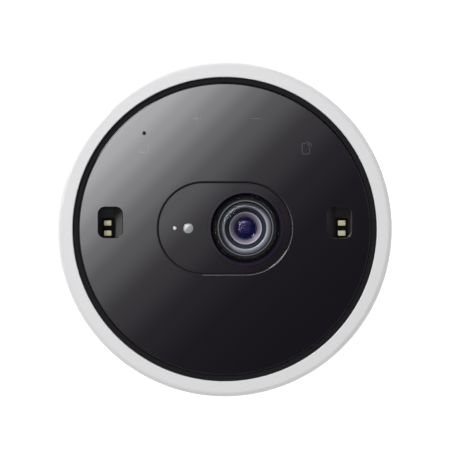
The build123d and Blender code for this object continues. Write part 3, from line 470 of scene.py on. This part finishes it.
# moulded, painted, cast and brushed surfaces: grain size and relief in mm
grainFinishes = {
    "white_shell": dict(colour=(0.82, 0.82, 0.825), roughness=0.42, grain=0.28,
                        relief=0.006, drift=0.02),
    "front_rim": dict(colour=(0.79, 0.79, 0.795), roughness=0.38, grain=0.24,
                      relief=0.004, drift=0.02),
    "grille": dict(colour=(0.78, 0.78, 0.785), roughness=0.45, grain=0.28,
                   relief=0.006, drift=0.03),
    "cradle_paint": dict(colour=(0.80, 0.80, 0.805), roughness=0.5, grain=0.42,
                         relief=0.02, drift=0.03),
    "rubber": dict(colour=(0.028, 0.028, 0.03), roughness=0.8, grain=0.5,
                   relief=0.03, drift=0.25, shine=0.25),
    "bezel": dict(colour=(0.014, 0.0135, 0.0145), roughness=0.62, grain=0.3,
                  relief=0.01, drift=0.3, shine=0.05),
    "black_plastic": dict(colour=(0.016, 0.016, 0.018), roughness=0.5, grain=0.35,
                          relief=0.012, drift=0.3, shine=0.3),
    "block_plastic": dict(colour=(0.004, 0.004, 0.0045), roughness=0.5, grain=0.35,
                          relief=0.01, drift=0.3, shine=0.03),
    "well_plastic": dict(colour=(0.105, 0.102, 0.101), roughness=0.45, grain=0.4,
                         relief=0.006, drift=0.15, shine=0.03),
    "nylon": dict(colour=(0.72, 0.71, 0.66), roughness=0.55, grain=0.6,
                  relief=0.01, drift=0.06),
    "cone_paper": dict(colour=(0.07, 0.07, 0.075), roughness=0.85, grain=0.9,
                       relief=0.05, drift=0.35),
    "light_guide": dict(colour=(0.018, 0.018, 0.022), roughness=0.35, grain=0.2,
                        relief=0.004, drift=0.2, shine=0.1),
    "dark_gloss": dict(colour=(0.007, 0.006, 0.009), roughness=0.3, grain=2.5,
                       relief=0.002, drift=0.15, shine=0.06),
    "steel": dict(colour=(0.60, 0.60, 0.62), roughness=0.32, grain=0.35,
                  relief=0.006, drift=0.1, metallic=1.0, stretch=(1, 1, 0.06)),
    "shield_can": dict(colour=(0.66, 0.67, 0.68), roughness=0.36, grain=0.8,
                       relief=0.006, drift=0.12, metallic=1.0),
    "cast_alloy": dict(colour=(0.50, 0.51, 0.52), roughness=0.5, grain=0.7,
                       relief=0.05, drift=0.15, metallic=1.0),
    "aluminium": dict(colour=(0.74, 0.75, 0.76), roughness=0.34, grain=0.4,
                      relief=0.01, drift=0.1, metallic=1.0, stretch=(1, 0.05, 1)),
    "copper": dict(colour=(0.78, 0.40, 0.25), roughness=0.3, grain=1.2,
                   relief=0.008, drift=0.2, metallic=1.0),
    "gold_contact": dict(colour=(0.62, 0.59, 0.38), roughness=0.5, grain=0.25,
                         relief=0.006, drift=0.12, metallic=0.25),
}


def grainFinish(name, colour, roughness, grain, relief, drift,
                metallic=0.0, stretch=(1, 1, 1), shine=0.5):
    finish, tree, shader = newFinish(name, {"Metallic": metallic, "Specular IOR Level": shine})
    useGroup(tree, shader, fineGrain, {
        "Colour": (*colour, 1), "Roughness": roughness, "Grain Size mm": grain,
        "Drift": drift, "Stretch": stretch,
    }, relief)
    return finish


# surfaces cut on a lathe: line pitch and relief in mm
turnedFinishes = {
    "brass": dict(colour=(0.78, 0.60, 0.30), roughness=0.3, pitch=0.35, relief=0.006,
                  metallic=1.0, axis=(0, 0)),
    "barrel_black": dict(colour=(0.016, 0.018, 0.0185), roughness=0.45, pitch=0.3,
                         relief=0.005, shine=0.04, axis=(lensAxis.x, lensAxis.y)),
}


def turnedFinish(name, colour, roughness, pitch, relief, axis, metallic=0.0, shine=0.5):
    finish, tree, shader = newFinish(name, {"Metallic": metallic, "Specular IOR Level": shine})
    useGroup(tree, shader, turnedLines, {
        "Colour": (*colour, 1), "Roughness": roughness, "Line Pitch mm": pitch,
        "Axis X": axis[0], "Axis Y": axis[1],
    }, relief)
    return finish


def clothFinish():
    finish, tree, shader = newFinish("cloth", {"Specular IOR Level": 0.2, "Sheen Weight": 0.3})
    useGroup(tree, shader, weaveCloth, {"Drum Radius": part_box("grille_cloth")[1].y}, 0.12)
    return finish


def boardFinish():
    finish, tree, shader = newFinish("circuit_board", {"IOR": 1.5})
    useGroup(tree, shader, boardTraces, {}, 0.03)
    return finish


# glass that is printed on its back, so only its front face reflects
glassBlack = (0.0102, 0.0082, 0.0120)
glassFinishes = {
    "black_glass": dict(colour=glassBlack, smudged=0.02),
    "key_ink": dict(colour=(0.06, 0.06, 0.064), smudged=0.02),
    "emitter_glass": dict(colour=(0.72, 0.74, 0.76), smudged=0.3),
    "sensor_glass": dict(colour=(0.36, 0.375, 0.385), smudged=0.25),
}


def printedGlass(name, colour, smudged):
    finish, tree, shader = newFinish(name, {"Base Color": (*colour, 1), "IOR": 1.5})
    useGroup(tree, shader, faintSmudge, {"Clean": 0.0, "Smudged": smudged})
    return finish


# a dark line where the bevel round the lens begins, and a violet cast on the bevel itself
windowValues = {"bevel": (0.0136, 0.0093, 0.0205), "line": (0.001, 0.001, 0.002),
                "bevelRadius": 10.92, "lineWidth": 0.2}


def windowGlass(v):
    finish, tree, shader = newFinish("window_glass", {"IOR": 1.5})
    useGroup(tree, shader, lensBevelPrint, {
        "Glass": (*glassBlack, 1), "Bevel": (*v["bevel"], 1), "Line": (*v["line"], 1),
        "Axis X": lensAxis.x, "Axis Y": lensAxis.y,
        "Radius mm": v["bevelRadius"], "Line Width mm": v["lineWidth"],
    })
    return finish


def clearGlass():
    # coated, so it mirrors little; light that has met what lies under it leaves straight
    finish, tree, shader = newFinish("clear_glass", {
        "Base Color": (0.97, 0.98, 1.0, 1), "IOR": 1.14, "Transmission Weight": 1.0,
        "Specular IOR Level": 0.12, "Specular Tint": (0.7, 0.6, 1.0, 1),
    })
    useGroup(tree, shader, faintSmudge, {"Clean": 0.0, "Smudged": 0.01, "Patch Size mm": 5.0})
    ray = tree.nodes.new("ShaderNodeLightPath").outputs
    seeThrough = tree.nodes.new("ShaderNodeBsdfTransparent")
    mixer = tree.nodes.new("ShaderNodeMixShader")
    scattered = mathNode(tree, "MAXIMUM", ray["Is Diffuse Ray"], ray["Is Glossy Ray"])
    passing = mathNode(tree, "MAXIMUM", ray["Is Shadow Ray"], scattered)
    tree.links.new(passing, mixer.inputs["Fac"])
    tree.links.new(shader.outputs[0], mixer.inputs[1])
    tree.links.new(seeThrough.outputs[0], mixer.inputs[2])
    tree.links.new(mixer.outputs[0], tree.nodes["Material Output"].inputs["Surface"])
    return finish


finishes = {}
for maker, table in ((grainFinish, grainFinishes), (turnedFinish, turnedFinishes),
                     (printedGlass, glassFinishes)):
    finishes.update({name: maker(name, **values) for name, values in table.items()})
finishes.update(cloth=clothFinish(), circuit_board=boardFinish(),
                window_glass=windowGlass(windowValues), clear_glass=clearGlass())

# three parts with a black of their own
ownBlack = {"pocket_wells": "well_plastic", "contact_blocks": "block_plastic",
            "lens_trim_ring": "block_plastic"}
for nodeName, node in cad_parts.items():
    for socket in node.material_slots:
        slotName = socket.material.name.split(".")[0]
        socket.material = finishes[ownBlack.get(nodeName, slotName)]
print("finishes made:", len(finishes))


# lens: radii and heights in mm, heights from the seat that the front glass stands on
lensValues = {
    "glassRadius": 7.62, "glassEdge": 1.0, "glassRise": 1.9,
    "snapRing": (7.6, 7.95), "snapHeight": 0.12,
    "rimRing": (6.78, 7.24), "rimTop": -0.42, "ringDepth": 1.0,
    "cellRing": (5.82, 6.82), "cellTop": -0.2, "cellSlope": 0.13,
    "cellBevel": (0.3, 0.12), "cellDepth": 1.6,
    "slateRing": (4.5, 5.88), "slateTop": -0.75, "slateSlope": 0.1,
    "lip": (4.26, 4.54), "lipTop": -0.62, "lipHeight": 0.25, "lipSlope": 0.05,
    "funnel": (2.95, 4.36), "funnelTop": -0.68, "funnelDrop": 0.75, "funnelDepth": 0.5,
    "seat": (2.68, 3.1), "seatTop": -1.3, "seatTilt": 7.5, "seatDepth": 0.3,
    "coreRadius": 2.86, "coreTop": -1.5, "coreRise": 0.42, "corePower": 7,
    "coreDepth": 0.6, "coreSteps": 40, "coreCrowding": 1.5,
    "hoop": (2.6, 2.73), "hoopHeight": 0.05, "hoopSunk": 0.02, "hoopSlope": 0.01,
}
# how far each edge is rounded, in mm
lensEdges = {"snap": 0.05, "cell": 0.12, "rim": 0.05, "slate": 0.06, "lip": 0.1,
             "funnel": 0.1, "hoop": 0.015}
lensFinishes = {
    "snap_ring": dict(colour=(0.14, 0.148, 0.17), roughness=0.35),
    # the cell ring is a real ring, but its light colour is partly painted reflection: it stands in
    # for studio light that the lens mirrors there
    "cell_silver": dict(colour=(0.40, 0.41, 0.49), roughness=0.27, shine=1.0),
    "slate_anodised": dict(colour=(0.024, 0.029, 0.043), roughness=0.4),
    "lip_coating": dict(colour=(0.54, 0.51, 0.61), roughness=0.3, shine=0.4),
    "hoop_coating": dict(colour=(0.05, 0.05, 0.13), roughness=0.3),
}
# the colour shifts outwards from the axis, from middle to edge at reach mm
coatingAndShadeFinishes = {
    # the funnel's near-black middle colour is painted shade at its deep inner edge; its pink edge
    # colour is the coating
    "funnel_coating": dict(middle=(0.015, 0.009, 0.045), edge=(0.41, 0.37, 0.46), reach=4.45,
                           falloff=4.0, shine=0.2, roughness=0.35),
    # the seat's near-black colours are painted shade round the inner lens
    "seat_coating": dict(middle=(0.004, 0.003, 0.02), edge=(0.006, 0.004, 0.03), reach=2.9,
                         falloff=2.0, shine=0.5, roughness=0.08),
    "blue_coating": dict(middle=(0.0015, 0.002, 0.055), edge=(0.0015, 0.0015, 0.024),
                         reach=lensValues["coreRadius"], falloff=4.0, shine=0.35,
                         roughness=0.12, tint=(0.75, 0.68, 1.0)),
}


def lensFinish(name, colour, roughness, shine=0.08, relief=0.004, pitch=0.22):
    axis = (lensAxis.x, lensAxis.y)
    return turnedFinish(name, colour, roughness, pitch, relief, axis, shine=shine)


def coatingAndShadeFinish(name, middle, edge, reach, falloff, shine, roughness, tint=(1, 1, 1)):
    finish, tree, shader = newFinish(name, {
        "IOR": 1.5, "Roughness": roughness, "Specular IOR Level": shine,
        "Specular Tint": (*tint, 1),
    })
    useGroup(tree, shader, coatingAndShadeRings, {
        "Middle": (*middle, 1), "Edge": (*edge, 1), "Axis X": lensAxis.x, "Axis Y": lensAxis.y,
        "Radius": reach * mm, "Falloff": falloff,
    })
    return finish


for maker, table in ((lensFinish, lensFinishes), (coatingAndShadeFinish, coatingAndShadeFinishes)):
    finishes.update({name: maker(name, **values) for name, values in table.items()})


def lensPiece(name, outline, finish, soft=0.0, stands=(), sides=160):
    inMetres = [(r * mm, lensLow.z + z * mm) for r, z in outline]
    mesh = turnedMesh(name, inMetres, lensAxis, sides, soft * mm)
    return addPiece(name, mesh, finishes[finish], "lens_barrel", stands)


def ringOutline(radii, innerTop, outerTop, underside):
    inner, outer = radii
    return [(inner, underside), (outer, underside), (outer, outerTop), (inner, innerTop)]


def coreOutline(v):
    # flat in the middle, falling away only near its edge
    base, radius = v["coreTop"], v["coreRadius"]
    outline = [(0, base - v["coreDepth"]), (radius, base - v["coreDepth"])]
    for k in range(v["coreSteps"] + 1):
        r = radius * (1 - (k / v["coreSteps"]) ** v["coreCrowding"])
        outline.append((r, base + v["coreRise"] * (1 - (r / radius) ** v["corePower"])))
    return outline


def makeLens(v, soft):
    dome = domeOutline(v["glassRadius"], 0.0, v["glassEdge"], v["glassRise"])
    lensPiece("front_lens_glass", dome, "clear_glass",
              stands=["front_lens"])

    top = (barrelTop - lensLow.z) / mm + v["snapHeight"]
    snap = ringOutline(v["snapRing"], top, top, top - v["snapHeight"])
    lensPiece("lens_snap_ring", snap, "snap_ring", soft["snap"])

    top, (inner, outer), (flat, drop) = v["cellTop"], v["cellRing"], v["cellBevel"]
    under = top - v["cellDepth"]
    cell = [(inner, under), (outer, under), (outer, top - v["cellSlope"]),
            (inner + flat, top), (inner, top - drop)]
    lensPiece("lens_cell_ring", cell, "cell_silver", soft["cell"],
              ["barrel_rings"])

    top = v["rimTop"]
    rim = ringOutline(v["rimRing"], top, top, top - v["ringDepth"])
    lensPiece("lens_rim_ring", rim, "snap_ring", soft["rim"])

    top = v["slateTop"]
    slate = ringOutline(v["slateRing"], top, top + v["slateSlope"], top - v["ringDepth"])
    lensPiece("lens_slate_ring", slate, "slate_anodised", soft["slate"])

    top = v["lipTop"]
    lip = ringOutline(v["lip"], top - v["lipSlope"], top, top - v["lipHeight"])
    lensPiece("lens_lip", lip, "lip_coating", soft["lip"])

    top, low = v["funnelTop"], v["funnelTop"] - v["funnelDrop"]
    funnel = ringOutline(v["funnel"], low, top, low - v["funnelDepth"])
    lensPiece("lens_funnel", funnel, "funnel_coating", soft["funnel"])

    # shallow seat round the inner lens, which shows a glint on the side away from the light; its
    # near-black colour is painted shade round the inner lens
    top, (inner, outer) = v["seatTop"], v["seat"]
    outerTop = top + (outer - inner) * math.tan(math.radians(v["seatTilt"]))
    seat = ringOutline(v["seat"], top, outerTop, top - v["seatDepth"])
    lensPiece("lens_seat", seat, "seat_coating")

    lensPiece("lens_core", coreOutline(v), "blue_coating", sides=128)

    fallen = (v["hoop"][1] / v["coreRadius"]) ** v["corePower"]
    low = v["coreTop"] + v["coreRise"] * (1 - fallen) - v["hoopSunk"]
    top = low + v["hoopHeight"]
    hoop = ringOutline(v["hoop"], top, top - v["hoopSlope"], low - v["hoopHeight"])
    lensPiece("lens_hoop", hoop, "hoop_coating", soft["hoop"])


makeLens(lensValues, lensEdges)
print("lens made")


# touch-key marks, printed on the glass: places and sizes in mm, turns in degrees
keyValues = {
    "stroke": 0.26, "thickness": 0.008,
    "power": (-22.8, 23.0), "powerRadius": 1.35, "powerGap": 42,
    "stemFrom": 0.35, "stemBeyond": 0.15,
    "plus": (-8.0, 31.35), "plusReach": 1.2,
    "minus": (8.75, 31.35), "minusReach": 1.45,
    "cast": (23.0, 22.8), "castSize": (2.1, 3.0), "castCorner": 0.25,
    "castTop": 0.9, "castSide": 1.2,
    "waveFrom": (1.25, 0.85), "waveRadii": (0.75, 1.35), "waveTurn": (-5, 95),
}


def makeKeys(v):
    def addKey(name, strokes):
        inMetres = [([p * mm for p in points], closed) for points, closed in strokes]
        mesh = strokeMesh(name, inMetres, v["stroke"] * mm, glassTop, v["thickness"] * mm)
        addPiece(name, mesh, finishes["key_ink"], "head")

    power = Vector(v["power"])
    ring = arcPoints(power, v["powerRadius"], 90 + v["powerGap"], 450 - v["powerGap"])
    stemTop = v["powerRadius"] + v["stemBeyond"]
    stem = [power + Vector((0, v["stemFrom"])), power + Vector((0, stemTop))]
    addKey("key_power", [(ring, False), (stem, False)])

    plus, half = Vector(v["plus"]), v["stroke"] / 2
    right, up, upStart = Vector((v["plusReach"], 0)), Vector((0, v["plusReach"])), Vector((0, half))
    bars = [[plus - right, plus + right], [plus + upStart, plus + up],
            [plus - upStart, plus - up]]
    addKey("key_plus", [(bar, False) for bar in bars])

    minus, right = Vector(v["minus"]), Vector((v["minusReach"], 0))
    addKey("key_minus", [([minus - right, minus + right], False)])

    # upright handset outline, open at its top right corner, where two waves leave it
    cast, (width, height), c = Vector(v["cast"]), v["castSize"], v["castCorner"]
    x0, x1 = cast.x - width / 2, cast.x + width / 2
    y0, y1 = cast.y - height / 2, cast.y + height / 2
    outline = [Vector(p) for p in (
        (x0 + v["castTop"], y1), (x0 + c, y1), (x0, y1 - c), (x0, y0 + c),
        (x0 + c, y0), (x1 - c, y0), (x1, y0 + c), (x1, y1 - v["castSide"]))]
    corner = Vector((x0 + v["waveFrom"][0], y1 - v["waveFrom"][1]))
    waves = [(arcPoints(corner, r, *v["waveTurn"], 10), False) for r in v["waveRadii"]]
    addKey("key_cast", [(outline, False)] + waves)


makeKeys(keyValues)
print("key marks made")


# gold contacts in the two clip pockets, in mm
padValues = {"size": (2.15, 1.5), "height": 0.3, "corner": 0.28, "cornerSteps": 5,
             "edge": 0.1, "edgeSteps": 4}


def makePads(v):
    width, depth, height = v["size"][0] * mm, v["size"][1] * mm, v["height"] * mm
    padX = padHigh.x - width / 2
    bm = bmesh.new()
    for side in (-1, 1):
        for y in (padLow.y + depth / 2, padHigh.y - depth / 2):
            made = bmesh.ops.create_cube(bm, size=1.0)
            place = Matrix.Translation((side * padX, y, padLow.z + height / 2))
            shape = place @ Matrix.Diagonal((width, depth, height, 1))
            bmesh.ops.transform(bm, matrix=shape, verts=made["verts"])
            edges = list({e for vert in made["verts"] for e in vert.link_edges})
            upright = [e for e in edges if abs(e.verts[0].co.z - e.verts[1].co.z) > 1e-6]
            bmesh.ops.bevel(bm, geom=upright, offset=v["corner"] * mm, profile=0.5,
                            segments=v["cornerSteps"], affect="EDGES")
    highest = max(vert.co.z for vert in bm.verts)
    topEdges = [e for e in bm.edges
                if all(abs(vert.co.z - highest) < 1e-7 for vert in e.verts)]
    bmesh.ops.bevel(bm, geom=topEdges, offset=v["edge"] * mm, profile=0.5,
                    segments=v["edgeSteps"], affect="EDGES")
    addPiece("contact_pads_gold", meshFrom("contact_pads_gold", bm), finishes["gold_contact"],
             "head", ["contact_pads"])


makePads(padValues)

# the two small windows left of the lens, in mm: the radius of each, and how far its middle
# stands in from its end of the pair
sensorValues = {
    "emitter": 0.52, "emitterIn": 0.53, "sensor": 1.47, "sensorIn": 1.48,
    "rise": 0.1, "inset": 0.12, "depth": 1.7,
}


def makeSensorWindows(v):
    low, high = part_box("sensor_windows")
    top = windowTop - v["inset"] * mm
    for name, finish, x, radius, stands in (
            ("emitter_window", "emitter_glass", low.x + v["emitterIn"] * mm, v["emitter"], []),
            ("sensor_window", "sensor_glass", high.x - v["sensorIn"] * mm, v["sensor"],
             ["sensor_windows"])):
        rise = v["rise"] * mm * radius / v["sensor"]
        outline = domeOutline(radius * mm, top - v["depth"] * mm, top - rise, rise, 12)
        mesh = turnedMesh(name, outline, Vector((x, (low.y + high.y) / 2, 0)), 64)
        addPiece(name, mesh, finishes[finish], "head", stands)


makeSensorWindows(sensorValues)
print("contacts and sensor windows made")


# stage: metres, but cameraAt, viewWidth and sensorWidth in mm
stageValues = {
    "floorRadius": 4.0, "floorColour": (0.9, 0.9, 0.9), "floorGlow": 0.75, "floorDrop": 0.0005,
    "faceHeight": 0.171, "cameraDistance": 0.68, "cameraAt": (0.94, 0.34), "viewWidth": 129.39,
    "sensorWidth": 36,
}
# a lit card that the glass mirrors as a soft diagonal fade; the fade starts fadeFrom mm before
# the middle of the face and is fadeLength mm long, and a stop is (share of the way, glow)
cardValues = {
    "height": 0.95, "half": 0.20, "gain": 25.0, "tint": (1, 0.985, 1.02),
    "fadeFrom": 50.0, "fadeLength": 110.0,
    "stops": ((0.0, 0.0015), (0.218, 0.004), (0.364, 0.011), (0.509, 0.0305), (0.655, 0.083),
              (0.727, 0.13), (0.8, 0.204), (0.873, 0.293), (0.945, 0.389), (1.0, 0.44)),
}


def makeFloor(v):
    bm = bmesh.new()
    bmesh.ops.create_circle(bm, cap_ends=True, segments=96, radius=v["floorRadius"])
    floor = addObject("floor", meshFrom("floor", bm))
    finish, tree, shader = newFinish("floor_paper", {
        "Emission Color": (1, 1, 1, 1), "Emission Strength": v["floorGlow"],
        "Specular IOR Level": 0.1,
    })
    useGroup(tree, shader, fineGrain, {
        "Colour": (*v["floorColour"], 1), "Roughness": 0.8, "Grain Size mm": 2.0,
    })
    floor.data.materials.append(finish)
    floor.location.z = -v["floorDrop"]


def makeCard(v, stage):
    bm = bmesh.new()
    bmesh.ops.create_grid(bm, x_segments=1, y_segments=1, size=v["half"])
    card = addObject("light_card", meshFrom("light_card", bm))
    shift = v["height"] / stage["cameraDistance"]
    x, y = stage["cameraAt"]
    card.location = (-x * shift * mm, -y * shift * mm, glassTop + v["height"])
    card.visible_camera = False
    card.visible_diffuse = False
    material = bpy.data.materials.new("card_glow")
    material.use_nodes = True
    tree = material.node_tree
    tree.nodes.clear()
    _, parts = splitPlace(tree)
    # distance towards the bright corner, in mm on the glass
    toBright = mathNode(tree, "SUBTRACT", parts["Y"], parts["X"])
    across = product(tree, toBright, mmPerMetre / (1 + shift))
    share = mathNode(tree, "DIVIDE", mathNode(tree, "ADD", across, v["fadeFrom"]),
                     v["fadeLength"])
    ramp = tree.nodes.new("ShaderNodeValToRGB")
    ramp.color_ramp.interpolation = "EASE"
    stops = ramp.color_ramp.elements
    while len(stops) < len(v["stops"]):
        stops.new(0.5)
    for stop, (position, value) in zip(stops, v["stops"]):
        stop.position = position
        stop.color = (*(value * part for part in v["tint"]), 1)
    tree.links.new(share, ramp.inputs[0])
    glow = tree.nodes.new("ShaderNodeEmission")
    glow.inputs["Strength"].default_value = v["gain"]
    tree.links.new(ramp.outputs["Color"], glow.inputs["Color"])
    output = tree.nodes.new("ShaderNodeOutputMaterial")
    tree.links.new(glow.outputs[0], output.inputs["Surface"])
    card.data.materials.append(material)


# lamps: place and size in metres, power in watts
lampValues = {
    "key": dict(place=(-0.8, 0.8, 1.1), size=0.6, watts=16.5, mirrored=True),
    "fill": dict(place=(1.1, -1.1, 0.5), size=0.8, watts=9.0, mirrored=False),
}


def makeLamp(name, place, size, watts, mirrored):
    lamp = bpy.data.lights.new(name, "AREA")
    lamp.shape = "SQUARE"
    lamp.size = size
    lamp.energy = watts
    holder = addObject(name, lamp)
    holder.location = place
    towards = Vector((0, 0, glassTop)) - Vector(place)
    holder.rotation_euler = towards.to_track_quat("-Z", "Y").to_euler()
    holder.visible_glossy = mirrored
    holder.visible_camera = False


# the studio's walls: dim, and brighter towards the key lamp; white behind the object
worldValues = {"dim": (0.17, 0.17, 0.175), "bright": (0.47, 0.47, 0.475),
               "behind": (1, 1, 1), "slope": 0.35}


def makeWorld(v):
    world = bpy.data.worlds.new("studio")
    bpy.context.scene.world = world
    world.use_nodes = True
    tree = world.node_tree
    tree.nodes.clear()
    _, parts = splitPlace(tree, "Generated")
    towardsKey = mathNode(tree, "SUBTRACT", parts["Y"], parts["X"])
    ramp = tree.nodes.new("ShaderNodeValToRGB")
    for stop, colour in zip(ramp.color_ramp.elements, (v["dim"], v["bright"])):
        stop.color = (*colour, 1)
    tree.links.new(shifted(tree, towardsKey, v["slope"], 0.5), ramp.inputs[0])
    walls = tree.nodes.new("ShaderNodeBackground")
    tree.links.new(ramp.outputs["Color"], walls.inputs["Color"])
    behind = tree.nodes.new("ShaderNodeBackground")
    behind.inputs["Color"].default_value = (*v["behind"], 1)
    ray = tree.nodes.new("ShaderNodeLightPath").outputs
    mixer = tree.nodes.new("ShaderNodeMixShader")
    tree.links.new(ray["Is Camera Ray"], mixer.inputs["Fac"])
    tree.links.new(walls.outputs[0], mixer.inputs[1])
    tree.links.new(behind.outputs[0], mixer.inputs[2])
    output = tree.nodes.new("ShaderNodeOutputWorld")
    tree.links.new(mixer.outputs[0], output.inputs["Surface"])


def makeCamera(v):
    camera = bpy.data.cameras.new("camera")
    camera.sensor_width = v["sensorWidth"]
    camera.lens = camera.sensor_width * v["cameraDistance"] / (v["viewWidth"] * mm)
    camera.clip_start = 0.01
    holder = addObject("camera", camera)
    x, y = v["cameraAt"]
    holder.location = (x * mm, y * mm, v["faceHeight"] + v["cameraDistance"])
    bpy.context.scene.camera = holder


makeFloor(stageValues)
makeCard(cardValues, stageValues)
for lampName, values in lampValues.items():
    makeLamp(lampName, **values)
makeWorld(worldValues)
makeCamera(stageValues)
bpy.context.scene.view_settings.view_transform = "Standard"
print("stage, lamps and camera made")
